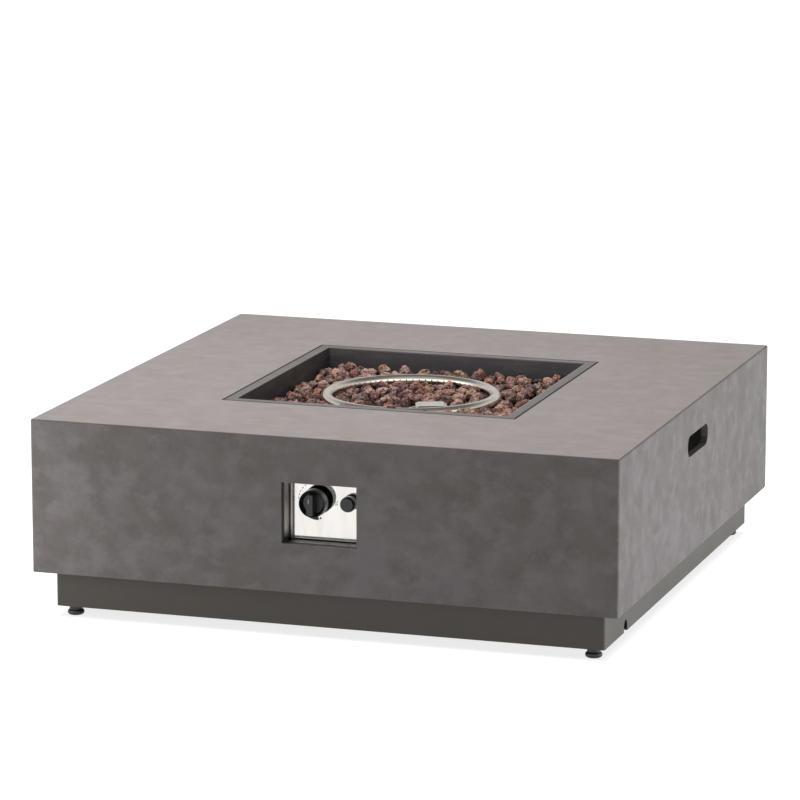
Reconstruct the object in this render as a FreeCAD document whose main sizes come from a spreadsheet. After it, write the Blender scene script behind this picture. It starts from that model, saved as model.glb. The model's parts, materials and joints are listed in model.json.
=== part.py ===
import FreeCAD, Part
import math
import os
import random
import re
import Sketcher

# Square gas fire table, low, on four levelling feet.
# Millimetres, +Z up, origin on the ground under the middle, controls at the front, -Y.

DOC = FreeCAD.newDocument("fire_table")
DIMS = DOC.addObject("Spreadsheet::Sheet", "dims")

# Driving dimensions: name, value, what it is
DIMENSIONS = [
    ("table_width", 1016, "side of the square shell"),
    ("foot_height", 18.2, "ground to the plinth"),
    ("plinth_height", 63.1, "plinth, bottom to top"),
    ("shell_height", 261.6, "cast shell, bottom to top"),
    ("wall_thick", 12, "cast walls"),
    ("top_thick", 20, "cast top"),
    ("edge_round", 3, "rounding of the top edge"),
    ("corner_round", 4, "rounding of upright corners"),
    ("plinth_inset", 30.2, "plinth set back from the shell"),
    ("sheet_thick", 2, "sheet of plinth and pan"),
    ("lower_flange", 34, "plinth bottom flange width"),
    ("upper_flange", 28, "plinth top flange width"),
    ("notch_place", -348, "hose notch, along Y"),
    ("notch_width", 20, "hose notch"),
    ("notch_height", 20, "hose notch"),
    ("angle_leg", 40, "upright leg of the inner angle frame"),
    ("angle_width", 46, "flat leg of the inner angle frame"),
    ("angle_thick", 3, "angle frame"),
    ("fit_gap", 0.3, "gap between pieces laid together"),
    ("foot_inset", 24.8, "foot axis in from the plinth face"),
    ("stud_radius", 5, "foot stud"),
    ("stud_top", 50, "top of the stud, screwed home"),
    ("pad_radius", 14.3, "foot pad"),
    ("pad_height", 10, "foot pad, to its neck"),
    ("gusset_side", 90, "corner plate"),
    ("gusset_thick", 4, "corner plate"),
    ("rim_width", 516, "pan flange, side"),
    ("rim_gap", 1.5, "seam between flange and top"),
    ("pan_inner", 480, "pan, inner side"),
    ("pan_depth", 80, "top face to pan floor"),
    ("pan_margin", 4, "pan to the cut-out round it"),
    ("opening_width", 130, "control opening"),
    ("opening_low", 162.7, "control opening, lower edge"),
    ("opening_high", 265.8, "control opening, upper edge"),
    ("plate_setback", 40, "front face to control plate"),
    ("box_sheet", 1.5, "control box and plate"),
    ("box_depth", 38, "control box, front to back"),
    ("box_flange", 16, "control box flange width"),
    ("gasket_thick", 3, "foam between wall and control box"),
    ("plate_gap", 0.8, "seam beside the control plate"),
    ("plate_end_gap", 1.8, "seam above and below the control plate"),
    ("plate_bend", 2.5, "outer radius of the control plate's bends"),
    ("slot_length", 136, "hand slot"),
    ("slot_height", 36.6, "hand slot"),
    ("slot_middle", 270.5, "hand slot, height of its middle"),
    ("slot_round", 15, "hand slot corners"),
    ("ring_shift", -6, "burner off the middle, along X"),
    ("ring_level", 313.7, "burner ring centre plane"),
    ("ring_radius", 147, "burner ring, to the middle of its tube"),
    ("tube_radius", 10.65, "burner tube, outside"),
    ("tube_bore", 8.3, "burner tube, inside"),
    ("port_radius", 1.25, "gas port"),
    ("bar_level", 285, "crossbar axis"),
    ("bar_radius", 8.55, "crossbar, outside"),
    ("bar_bore", 6.3, "crossbar, inside"),
    ("hub_radius", 15, "crossbar hub"),
    ("nipple_radius", 10.4, "nipple through the pan floor"),
    ("nipple_bore", 8, "nipple, inside"),
    ("bed_top", 297, "top of the packed lower lava"),
    ("knob_place", -16.5, "knob axis, along X"),
    ("knob_level", 229.5, "knob axis, height"),
    ("knob_radius", 23.5, "knob skirt"),
    ("knob_face", 20.5, "plate to the bottom of the knob's dish"),
    ("knob_rim", 28.5, "plate to the rim of the knob's dish"),
    ("knob_length", 39.4, "plate to the end of the knob's grip"),
    ("gland_radius", 8, "valve gland through the plate"),
    ("stem_radius", 3, "valve stem"),
    ("plug_radius", 7, "valve plug"),
    ("inlet_depth", 36, "gas inlet axis behind the plate face"),
    ("push_travel", 3, "push of knob and igniter button"),
    ("igniter_place", 41, "igniter axis, along X"),
    ("igniter_level", 230, "igniter axis, height"),
    ("cap_radius", 13.2, "igniter button cap"),
    ("cap_length", 19.6, "plate to the igniter button's face"),
    ("barrel_radius", 10.9, "igniter barrel"),
    ("gas_radius", 4, "gas tube"),
    ("lead_radius", 2, "ignition lead"),
    ("line_radius", 1.2, "thermocouple line"),
    ("shield_place_x", 58, "electrode shield middle"),
    ("shield_place_y", -86, "electrode shield middle"),
    ("shield_turn", 20, "electrode shield, degrees about Z"),
]
ALIASES = {name for name, _, _ in DIMENSIONS}

for row, (name, size, note) in enumerate(DIMENSIONS, start=1):
    DIMS.set(f"A{row}", note)
    DIMS.set(f"B{row}", str(size))
    DIMS.setAlias(f"B{row}", name)
DOC.recompute()

# Levels and places worked out from the driving dimensions, as expressions
SHELL_BASE = "(foot_height + plinth_height)"
TABLE_TOP = "(foot_height + plinth_height + shell_height)"
HALF = "(table_width / 2)"
PLINTH_HALF = "(table_width / 2 - plinth_inset)"
FOOT_PLACE = "(table_width / 2 - plinth_inset - foot_inset)"
PAN_FLOOR = "(foot_height + plinth_height + shell_height - pan_depth)"
PAN_UNDER = "(foot_height + plinth_height + shell_height - pan_depth - sheet_thick)"
PLATE_FACE = "(-table_width / 2 + plate_setback)"
WALL_BACK = "(-table_width / 2 + wall_thick)"
BOX_FRONT = "(-table_width / 2 + wall_thick + gasket_thick)"

PARTS = []
CORNERS = {
    "front_left": (-1, -1),
    "front_right": (1, -1),
    "back_right": (1, 1),
    "back_left": (-1, 1),
}
UP = FreeCAD.Rotation(FreeCAD.Vector(0, 0, 1), 0)
TO_FRONT = FreeCAD.Rotation(FreeCAD.Vector(1, 0, 0), 90)
TO_BACK = FreeCAD.Rotation(FreeCAD.Vector(1, 0, 0), -90)
TO_RIGHT = FreeCAD.Rotation(FreeCAD.Vector(0, 1, 0), 90)
TO_LEFT = FreeCAD.Rotation(FreeCAD.Vector(0, 1, 0), -90)


def in_sheet(text):
    """An expression with every named dimension looked up in the sheet."""
    return re.sub(r"[a-z_]+", lambda m: "dims." + m.group() if m.group() in ALIASES else m.group(), str(text))


def value(text):
    """The number that an expression of named dimensions has now."""
    result = DIMS.evalExpression(in_sheet(text))
    return float(getattr(result, "Value", result))


def bind(thing, prop, text):
    thing.setExpression(prop, in_sheet(text))


def place(thing, x, y, z, rotation=UP):
    """Puts a thing at three expressions, turned by a rotation."""
    thing.Placement = FreeCAD.Placement(FreeCAD.Vector(), rotation)
    bind(thing, "Placement.Base.x", x)
    bind(thing, "Placement.Base.y", y)
    bind(thing, "Placement.Base.z", z)
    return thing


def keep(thing, label):
    """Marks a thing as a finished piece, whose label names its file."""
    thing.Label = label
    PARTS.append(thing)
    return thing


# Solids from primitives

def block(name, low, high):
    """A box from its lowest to its highest corner."""
    thing = DOC.addObject("Part::Box", name)
    for side, start, end in zip(("Length", "Width", "Height"), low, high):
        bind(thing, side, f"({end}) - ({start})")
    return place(thing, *low)


def rod(name, radius, start, length, rotation=UP):
    """A cylinder that starts at a point and runs along the turned Z axis."""
    thing = DOC.addObject("Part::Cylinder", name)
    bind(thing, "Radius", radius)
    bind(thing, "Height", length)
    return place(thing, *start, rotation)


def fuse(name, things):
    thing = DOC.addObject("Part::MultiFuse", name)
    thing.Shapes = things
    return thing


def cut(name, base, tools):
    tool = tools[0] if len(tools) == 1 else fuse(name + "_tools", tools)
    thing = DOC.addObject("Part::Cut", name)
    thing.Base = base
    thing.Tool = tool
    return thing


# Solids from sketches

def new_body(name):
    return DOC.addObject("PartDesign::Body", name)


def new_sketch(body, role="XY_Plane", offset="0"):
    """A sketch on one of the body's own planes, moved along that plane's normal."""
    sketch = body.newObject("Sketcher::SketchObject", body.Name + "_sketch")
    plane = [f for f in body.Origin.OriginFeatures if f.Role == role][0]
    sketch.AttachmentSupport = (plane, [""])
    sketch.MapMode = "FlatFace"
    bind(sketch, "AttachmentOffset.Base.z", offset)
    return sketch


def hold(sketch, kind, geometry, point, text):
    """Ties one coordinate of a sketch point to an expression."""
    index = sketch.addConstraint(Sketcher.Constraint(kind, -1, 1, geometry, point, value(text)))
    bind(sketch, f"Constraints[{index}]", text)


def outline(sketch, corners):
    """A closed outline of straight lines, each corner a pair of expressions."""
    first = sketch.GeometryCount
    count = len(corners)
    points = [FreeCAD.Vector(value(a), value(b), 0) for a, b in corners]
    for i in range(count):
        sketch.addGeometry(Part.LineSegment(points[i], points[(i + 1) % count]), False)
    for i in range(count):
        following = first + (i + 1) % count
        sketch.addConstraint(Sketcher.Constraint("Coincident", first + i, 2, following, 1))
    for i, (across, along) in enumerate(corners):
        hold(sketch, "DistanceX", first + i, 1, across)
        hold(sketch, "DistanceY", first + i, 1, along)


def rectangle(sketch, low, high):
    outline(sketch, [(low[0], low[1]), (high[0], low[1]), (high[0], high[1]), (low[0], high[1])])


def square(sketch, half):
    rectangle(sketch, (f"-({half})", f"-({half})"), (half, half))


def circle(sketch, x, y, radius):
    centre = FreeCAD.Vector(value(x), value(y), 0)
    index = sketch.addGeometry(Part.Circle(centre, FreeCAD.Vector(0, 0, 1), value(radius)), False)
    size = sketch.addConstraint(Sketcher.Constraint("Radius", index, value(radius)))
    bind(sketch, f"Constraints[{size}]", radius)
    hold(sketch, "DistanceX", index, 3, x)
    hold(sketch, "DistanceY", index, 3, y)


def rounded_rectangle(sketch, low, high, radius):
    """Four lines joined by four quarter arcs."""
    x0, y0, x1, y1, r = [value(t) for t in (low[0], low[1], high[0], high[1], radius)]
    spots = [(x1 - r, y0 + r, -90), (x1 - r, y1 - r, 0), (x0 + r, y1 - r, 90), (x0 + r, y0 + r, 180)]
    sides = [((x0 + r, y0), (x1 - r, y0)), ((x1, y0 + r), (x1, y1 - r)),
             ((x1 - r, y1), (x0 + r, y1)), ((x0, y1 - r), (x0, y0 + r))]
    first = sketch.GeometryCount
    for (start, end), (cx, cy, angle) in zip(sides, spots):
        sketch.addGeometry(Part.LineSegment(FreeCAD.Vector(*start, 0), FreeCAD.Vector(*end, 0)), False)
        round_corner = Part.Circle(FreeCAD.Vector(cx, cy, 0), FreeCAD.Vector(0, 0, 1), r)
        sweep = (math.radians(angle), math.radians(angle + 90))
        sketch.addGeometry(Part.ArcOfCircle(round_corner, *sweep), False)
    for i in range(4):
        line, arc, following = first + 2 * i, first + 2 * i + 1, first + (2 * i + 2) % 8
        sketch.addConstraint(Sketcher.Constraint("Tangent", line, 2, arc, 1))
        sketch.addConstraint(Sketcher.Constraint("Tangent", arc, 2, following, 1))
        sketch.addConstraint(Sketcher.Constraint("Vertical" if i % 2 else "Horizontal", line))
        if i:
            sketch.addConstraint(Sketcher.Constraint("Equal", first + 1, arc))
    size = sketch.addConstraint(Sketcher.Constraint("Radius", first + 1, r))
    bind(sketch, f"Constraints[{size}]", radius)
    hold(sketch, "DistanceX", first + 1, 3, f"({high[0]}) - ({radius})")
    hold(sketch, "DistanceY", first + 1, 3, f"({low[1]}) + ({radius})")
    hold(sketch, "DistanceX", first + 5, 3, f"({low[0]}) + ({radius})")
    hold(sketch, "DistanceY", first + 5, 3, f"({high[1]}) - ({radius})")


def pad(body, sketch, length, reverse=False, both_ways=False):
    feature = body.newObject("PartDesign::Pad", body.Name + "_pad")
    feature.Profile = sketch
    bind(feature, "Length", length)
    feature.Reversed = reverse
    if both_ways:
        feature.SideType = "Symmetric"
    return feature


def pocket(body, sketch, length, reverse=False):
    feature = body.newObject("PartDesign::Pocket", body.Name + "_pocket")
    feature.Profile = sketch
    bind(feature, "Length", length)
    feature.Reversed = reverse
    return feature


def fillet(body, radius, wanted):
    """Rounds the edges of the body's tip whose middle passes a test."""
    DOC.recompute()
    tip = body.Tip
    names = [f"Edge{i + 1}" for i, edge in enumerate(tip.Shape.Edges) if wanted(edge)]
    feature = body.newObject("PartDesign::Fillet", body.Name + "_fillet")
    feature.Base = (tip, names)
    bind(feature, "Radius", radius)
    return feature


def upright(edge):
    """A straight edge that runs along Z."""
    ends = [v.Point for v in edge.Vertexes]
    return len(ends) == 2 and (ends[1] - ends[0]).cross(FreeCAD.Vector(0, 0, 1)).Length < 1e-6


def turned(name, profile):
    """A body of revolution about Z from corners (radius, height)."""
    body = new_body(name)
    sketch = new_sketch(body, "XZ_Plane")
    outline(sketch, profile)
    feature = body.newObject("PartDesign::Revolution", name + "_revolution")
    feature.Profile = sketch
    feature.ReferenceAxis = (sketch, ["V_Axis"])
    feature.Angle = 360
    return body


def hexagon(sketch, flats):
    """A hexagon about the sketch origin, across its flats."""
    spots = [(math.cos(math.radians(60 * i)), math.sin(math.radians(60 * i))) for i in range(6)]
    outline(sketch, [(f"{x:.6f} * ({flats}) / sqrt(3)", f"{y:.6f} * ({flats}) / sqrt(3)") for x, y in spots])


def hex_nut(name, flats, bore, thick):
    body = new_body(name)
    sketch = new_sketch(body)
    hexagon(sketch, flats)
    circle(sketch, "0", "0", bore)
    pad(body, sketch, thick)
    return body


def copies(label, original, places):
    """One piece of several equal solids: the original's shape at each placement."""
    DOC.recompute()
    group = DOC.addObject("Part::Feature", label + "_group")
    solids = []
    for placement in places:
        solid = original.Shape.copy()
        solid.Placement = placement.multiply(original.Shape.Placement)
        solids.append(solid)
    group.Shape = Part.makeCompound(solids)
    return keep(group, label)


def at(x, y, z, rotation=UP):
    return FreeCAD.Placement(FreeCAD.Vector(value(x), value(y), value(z)), rotation)


# Tubes along a route

def rounded_path(points):
    """Straight runs joined by tangent arcs, each as large as its two runs allow."""
    edges = []
    start = points[0]
    for before, corner, after in zip(points, points[1:], points[2:]):
        into = (corner - before).normalize()
        away = (after - corner).normalize()
        half_turn = into.getAngle(away) / 2
        reach = 0.45 * min(corner.distanceToPoint(before), corner.distanceToPoint(after))
        radius = reach / math.tan(half_turn)
        arc_start = corner - into * reach
        arc_end = corner + away * reach
        inward = (away - into).normalize()
        arc_middle = corner + inward * (radius / math.cos(half_turn) - radius)
        edges.append(Part.LineSegment(start, arc_start).toShape())
        edges.append(Part.Arc(arc_start, arc_middle, arc_end).toShape())
        start = arc_end
    edges.append(Part.LineSegment(start, points[-1]).toShape())
    return Part.Wire(edges)


def tube(label, radius, points):
    """A round solid along a route of points."""
    path = rounded_path([FreeCAD.Vector(*[value(c) for c in p]) for p in points])
    first = path.Edges[0]
    section = Part.Wire(Part.makeCircle(value(radius), first.valueAt(first.FirstParameter),
                                        first.tangentAt(first.FirstParameter)))
    thing = DOC.addObject("Part::Feature", label + "_tube")
    thing.Shape = path.makePipeShell([section], True, False)
    expected = math.pi * value(radius) ** 2 * path.Length
    print(f"{label}: route {path.Length:.0f} mm, volume over section times length "
          f"{thing.Shape.Volume / expected:.4f}")
    return keep(thing, label)


def coil(label, radius, wire, turns, height, placement):
    """A spring along Z: quarter-turn arcs through points of a helix."""
    def spot(quarter_parts):
        angle = quarter_parts * math.pi / 4
        rise = wire + (height - 2 * wire) * quarter_parts / (8 * turns)
        return FreeCAD.Vector(radius * math.cos(angle), radius * math.sin(angle), rise)
    edges = [Part.Arc(spot(2 * i), spot(2 * i + 1), spot(2 * i + 2)).toShape() for i in range(4 * turns)]
    path = Part.Wire(edges)
    first = path.Edges[0]
    section = Part.Wire(Part.makeCircle(wire, first.valueAt(first.FirstParameter),
                                        first.tangentAt(first.FirstParameter)))
    thing = DOC.addObject("Part::Feature", label + "_coil")
    thing.Shape = path.makePipeShell([section], True, False)
    thing.Placement = placement
    return keep(thing, label)


# The cast shell

def frame_screw_places():
    """Three screws a side, each pointing out into the cast wall."""
    places = []
    reach = value(HALF) - value("wall_thick") - value("fit_gap") - value("angle_thick")
    level = value(SHELL_BASE) + 0.6 * value("angle_leg")
    for along in (-350, 0, 350):
        places.append((FreeCAD.Vector(reach, along, level), TO_RIGHT))
        places.append((FreeCAD.Vector(-reach, along, level), TO_LEFT))
        places.append((FreeCAD.Vector(along, reach, level), TO_BACK))
        places.append((FreeCAD.Vector(along, -reach, level), TO_FRONT))
    return [FreeCAD.Placement(spot, rotation) for spot, rotation in places]


def box_screw_places():
    """Four screws that hold the control box flange to the front wall."""
    across = value("opening_width / 2 + box_sheet + box_flange / 2")
    low = value("opening_low - box_sheet - box_flange / 2")
    high = value("opening_high + box_sheet + box_flange / 2")
    back = value(BOX_FRONT) + value("box_sheet")
    spots = [(side * across, back, level) for side in (-1, 1) for level in (low, high)]
    return [FreeCAD.Placement(FreeCAD.Vector(*spot), TO_FRONT) for spot in spots]


def table_shell():
    body = new_body("shell_body")
    base = new_sketch(body, offset=SHELL_BASE)
    square(base, HALF)
    pad(body, base, "shell_height")
    fillet(body, "corner_round", upright)
    top = value(TABLE_TOP)
    fillet(body, "edge_round", lambda edge: edge.BoundBox.ZMin > top - 0.01)
    cavity = new_sketch(body, offset=SHELL_BASE)
    square(cavity, f"{HALF} - wall_thick")
    pocket(body, cavity, "shell_height - top_thick", reverse=True)
    rebate = new_sketch(body, offset=TABLE_TOP)
    square(rebate, "rim_width / 2 + rim_gap")
    pocket(body, rebate, "sheet_thick")
    pan_hole = new_sketch(body, offset=TABLE_TOP)
    square(pan_hole, "pan_inner / 2 + sheet_thick + pan_margin")
    pocket(body, pan_hole, "top_thick + 1")
    controls = new_sketch(body, "XZ_Plane", HALF)
    rectangle(controls, ("-opening_width / 2", "opening_low"), ("opening_width / 2", "opening_high"))
    pocket(body, controls, "wall_thick + 1")
    slots = new_sketch(body, "YZ_Plane", f"{HALF} + 1")
    rounded_rectangle(slots, ("-slot_length / 2", "slot_middle - slot_height / 2"),
                      ("slot_length / 2", "slot_middle + slot_height / 2"), "slot_round")
    pocket(body, slots, "table_width + 2")
    drill = DOC.addObject("Part::Feature", "shell_drilling")
    holes = []
    for spot in frame_screw_places():
        hole = Part.makeCylinder(2.6, 13)
        hole.Placement = spot
        holes.append(hole)
    for spot in box_screw_places():
        hole = Part.makeCylinder(2.1, 15)
        hole.Placement = spot
        holes.append(hole)
    drill.Shape = Part.makeCompound(holes)
    keep(cut("shell_drilled", body, [drill]), "table_shell")


# Base: angle frame, plinth, corner plates, feet

def base_frame():
    outer = f"({HALF} - wall_thick - fit_gap)"
    body = new_body("angle_body")
    flat = new_sketch(body, offset=SHELL_BASE)
    square(flat, outer)
    square(flat, f"{outer} - angle_width")
    pad(body, flat, "angle_thick")
    wall = new_sketch(body, offset=SHELL_BASE)
    square(wall, outer)
    square(wall, f"{outer} - angle_thick")
    pad(body, wall, "angle_leg")
    drill = DOC.addObject("Part::Feature", "angle_drilling")
    holes = []
    for spot in frame_screw_places():
        hole = Part.makeCylinder(2.75, 8)
        hole.Placement = spot.multiply(FreeCAD.Placement(FreeCAD.Vector(0, 0, -4), UP))
        holes.append(hole)
    for x, y in plinth_bolt_places():
        holes.append(Part.makeCylinder(4.3, 20, FreeCAD.Vector(x, y, value(SHELL_BASE) - 5)))
    drill.Shape = Part.makeCompound(holes)
    keep(cut("angle_drilled", body, [drill]), "base_frame")


def plinth_bolt_places():
    """Two bolts on each side, through the plinth top flange and the frame."""
    reach = value(PLINTH_HALF) - value("upper_flange") / 2
    spots = []
    for along in (-230, 230):
        spots += [(reach, along), (-reach, along), (along, reach), (along, -reach)]
    return spots


def plinth():
    body = new_body("plinth_body")
    base = new_sketch(body, offset="foot_height")
    square(base, PLINTH_HALF)
    pad(body, base, "plinth_height")
    fillet(body, "corner_round", upright)
    inside = new_sketch(body, offset="foot_height + sheet_thick")
    square(inside, f"{PLINTH_HALF} - sheet_thick")
    pocket(body, inside, "plinth_height - 2 * sheet_thick", reverse=True)
    lower = new_sketch(body, offset="foot_height")
    square(lower, f"{PLINTH_HALF} - lower_flange")
    pocket(body, lower, "sheet_thick + 1", reverse=True)
    upper = new_sketch(body, offset="foot_height + plinth_height")
    square(upper, f"{PLINTH_HALF} - upper_flange")
    pocket(body, upper, "sheet_thick + 1")
    reach = f"{PLINTH_HALF} - lower_flange - 2"
    low_side = "notch_place - notch_width / 2"
    slot = block("notch_slot", (reach, low_side, "foot_height - 1"),
                 (f"{HALF}", "notch_place + notch_width / 2", "foot_height + notch_height - notch_width / 2"))
    arch = rod("notch_arch", "notch_width / 2",
               (f"{PLINTH_HALF} - 10", "notch_place", "foot_height + notch_height - notch_width / 2"),
               "20", TO_RIGHT)
    drill = DOC.addObject("Part::Feature", "plinth_drilling")
    holes = []
    for x, y in plinth_bolt_places():
        holes.append(Part.makeCylinder(4.3, 6, FreeCAD.Vector(x, y, value(SHELL_BASE) - 4)))
    for sx, sy in CORNERS.values():
        spot = FreeCAD.Vector(sx * value(FOOT_PLACE), sy * value(FOOT_PLACE), value("foot_height") - 1)
        holes.append(Part.makeCylinder(value("stud_radius") + 0.6, 4, spot))
    drill.Shape = Part.makeCompound(holes)
    keep(cut("plinth_drilled", body, [slot, arch, drill]), "plinth")


def screw(name, shank, length, head, head_thick):
    """A pan-head screw: the head below the origin, the shank along +Z."""
    return turned(name, [
        ("0", f"-({head_thick})"), (f"{head} - 0.6", f"-({head_thick})"), (head, f"-({head_thick}) + 0.8"),
        (head, "0"), (shank, "0"), (shank, f"{length} - 0.5"), (f"{shank} - 0.5", length), ("0", length),
    ])


def base_fasteners():
    copies("frame_screws", screw("frame_screw", "2.5", "12", "4.8", "3.2"), frame_screw_places())
    bolt = screw("plinth_bolt", "4", "17", "7", "4.5")
    under = value(SHELL_BASE) - value("sheet_thick")
    copies("plinth_bolts", bolt, [at(x, y, under) for x, y in plinth_bolt_places()])
    nut = hex_nut("plinth_nut", "13", "4.05", "6.5")
    above = value(SHELL_BASE) + value("angle_thick")
    copies("plinth_nuts", nut, [at(x, y, above) for x, y in plinth_bolt_places()])


def corner_plates():
    """A chamfered plate in each plinth corner, drilled for the stud."""
    far = f"({PLINTH_HALF} - sheet_thick - 2.5)"
    near = f"({PLINTH_HALF} - sheet_thick - gusset_side)"
    for corner, (sx, sy) in CORNERS.items():
        body = new_body("gusset_" + corner)
        sketch = new_sketch(body, offset="foot_height + sheet_thick")
        spots = [(far, far), (far, near), (f"{near} + 40", near), (near, f"{near} + 40"), (near, far)]
        outline(sketch, [(f"{sx} * ({x})", f"{sy} * ({y})") for x, y in spots])
        circle(sketch, f"{sx} * {FOOT_PLACE}", f"{sy} * {FOOT_PLACE}", "stud_radius + 0.6")
        pad(body, sketch, "gusset_thick")
        keep(body, "corner_plate_" + corner)
    nut = hex_nut("foot_nut", "17", "stud_radius + 0.08", "8.4")
    level = value("foot_height + sheet_thick + gusset_thick")
    places = [at(sx * value(FOOT_PLACE), sy * value(FOOT_PLACE), level) for sx, sy in CORNERS.values()]
    copies("foot_nuts", nut, places)


def feet():
    """Each foot: a flared pad, and a slotted stud whose head turns captive in the pad."""
    for corner, (sx, sy) in CORNERS.items():
        spot = (f"{sx} * {FOOT_PLACE}", f"{sy} * {FOOT_PLACE}", "0")
        top = "(foot_height - fit_gap)"
        pad_body = turned("pad_" + corner, [
            ("0", "0"), ("pad_radius - 3", "0"), ("pad_radius - 1.2", "1.2"), ("pad_radius - 0.2", "3"),
            ("pad_radius", "5"), ("pad_radius - 0.8", "7"), ("pad_radius - 2.4", "8.6"),
            ("pad_radius - 3.2", "pad_height"), ("pad_radius - 3.6", top), ("5.3", top), ("5.3", "7.8"),
            ("8", "7.8"), ("8", "3"), ("0", "3"),
        ])
        keep(place(pad_body, *spot), "foot_pad_" + corner)
        stud = turned("stud_" + corner, [
            ("0", "3.2"), ("7.6", "3.2"), ("7.6", "7.4"), ("stud_radius", "7.4"), ("stud_radius", "stud_top - 1"),
            ("stud_radius - 1", "stud_top"), ("0", "stud_top"),
        ])
        slot = new_sketch(stud, offset="stud_top")
        rectangle(slot, ("-0.8", "-stud_radius - 1"), ("0.8", "stud_radius + 1"))
        pocket(stud, slot, "2.5")
        keep(place(stud, *spot), "foot_stud_" + corner)


# Burner pan and burner

def in_shield_frame(across, along):
    """A point of the electrode group's own plane, in the table's frame."""
    turn = math.radians(value("shield_turn"))
    x = value("shield_place_x") + across * math.cos(turn) - along * math.sin(turn)
    y = value("shield_place_y") + across * math.sin(turn) + along * math.cos(turn)
    return x, y


ELECTRODE_SPOT = (-36, 10)
THERMOCOUPLE_SPOT = (-36, -4)
SHIELD_SCREWS = ((-13, 26.5), (13, 26.5))


def burner_pan():
    body = new_body("pan_body")
    rim = new_sketch(body, offset=TABLE_TOP)
    square(rim, "rim_width / 2")
    pad(body, rim, "sheet_thick", reverse=True)
    tub = new_sketch(body, offset=TABLE_TOP)
    square(tub, "pan_inner / 2 + sheet_thick")
    pad(body, tub, "pan_depth + sheet_thick", reverse=True)
    inside = new_sketch(body, offset=TABLE_TOP)
    square(inside, "pan_inner / 2")
    pocket(body, inside, "pan_depth")
    drill = DOC.addObject("Part::Feature", "pan_drilling")
    below = value(PAN_UNDER) - 1
    spots = [(value("ring_shift"), 0, value("nipple_radius") + 0.6)]
    spots += [(*in_shield_frame(*ELECTRODE_SPOT), 4.3), (*in_shield_frame(*THERMOCOUPLE_SPOT), 3.4)]
    spots += [(*in_shield_frame(*spot), 2.2) for spot in SHIELD_SCREWS]
    drain = value("pan_inner") / 2 - 30
    spots += [(sx * drain, sy * drain, 4) for sx, sy in CORNERS.values()]
    drill.Shape = Part.makeCompound([Part.makeCylinder(r, 5, FreeCAD.Vector(x, y, below)) for x, y, r in spots])
    keep(cut("pan_drilled", body, [drill]), "burner_pan")


PORT_COUNT = 76
PORT_TILT = 12
FEED_SIDES = (-1, 1)


def burner_ring():
    """A hollow ring with ports along its inner side and a feed hole below at each side."""
    centre = ("ring_shift", "0", "ring_level")
    skin = DOC.addObject("Part::Torus", "ring_skin")
    hollow = DOC.addObject("Part::Torus", "ring_hollow")
    quarter = FreeCAD.Rotation(FreeCAD.Vector(0, 0, 1), 90)
    for thing, radius in ((skin, "tube_radius"), (hollow, "tube_bore")):
        bind(thing, "Radius1", "ring_radius")
        bind(thing, "Radius2", radius)
        place(thing, *centre, quarter)
    drill = DOC.addObject("Part::Feature", "ring_drilling")
    holes = []
    middle = FreeCAD.Vector(value("ring_shift"), 0, value("ring_level"))
    for i in range(PORT_COUNT):
        turn = FreeCAD.Rotation(FreeCAD.Vector(0, 0, 1), (i + 0.5) * 360 / PORT_COUNT)
        aim = turn.multiply(FreeCAD.Rotation(FreeCAD.Vector(0, 1, 0), -90 + PORT_TILT))
        hole = Part.makeCylinder(value("port_radius"), 5)
        spot = middle + turn.multVec(FreeCAD.Vector(value("ring_radius"), 0, 0))
        hole.Placement = FreeCAD.Placement(spot + aim.multVec(FreeCAD.Vector(0, 0, 7)), aim)
        holes.append(hole)
    for side in FEED_SIDES:
        x = value("ring_shift") + side * value("ring_radius")
        holes.append(Part.makeCylinder(5, 8, FreeCAD.Vector(x, 0, value("ring_level") - 12)))
    drill.Shape = Part.makeCompound(holes)
    tube_wall = cut("ring_tube", skin, [hollow])
    keep(cut("ring_drilled", tube_wall, [drill]), "burner_ring")


def burner_crossbar():
    """A pipe with two upturned ends under the ring, and a threaded hub in its middle."""
    half = "ring_radius"
    start = (f"ring_shift - {half}", "0", "bar_level")
    skins = [rod("bar_skin", "bar_radius", start, f"2 * {half}", TO_RIGHT)]
    bores = [rod("bar_hollow", "bar_bore", start, f"2 * {half}", TO_RIGHT)]
    for side in FEED_SIDES:
        spot = (f"ring_shift + {side} * {half}", "0", "bar_level")
        skins.append(rod("riser_skin", "bar_radius", spot, "ring_level - bar_level"))
        bores.append(rod("riser_hollow", "bar_bore", spot, "ring_level - bar_level"))
        elbow = DOC.addObject("Part::Sphere", "elbow_skin")
        bind(elbow, "Radius", "bar_radius")
        skins.append(place(elbow, *spot))
    skins.append(rod("hub_skin", "hub_radius", ("ring_shift", "0", "bar_level - 15"), "26"))
    bores.append(rod("hub_hollow", "nipple_radius + 0.1", ("ring_shift", "0", "bar_level - 16"), "20"))
    clear_of_ring = DOC.addObject("Part::Torus", "ring_clearance")
    bind(clear_of_ring, "Radius1", "ring_radius")
    bind(clear_of_ring, "Radius2", "tube_radius + 0.15")
    place(clear_of_ring, "ring_shift", "0", "ring_level")
    keep(cut("crossbar_cut", fuse("crossbar_skin", skins), bores + [clear_of_ring]), "burner_crossbar")


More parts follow.
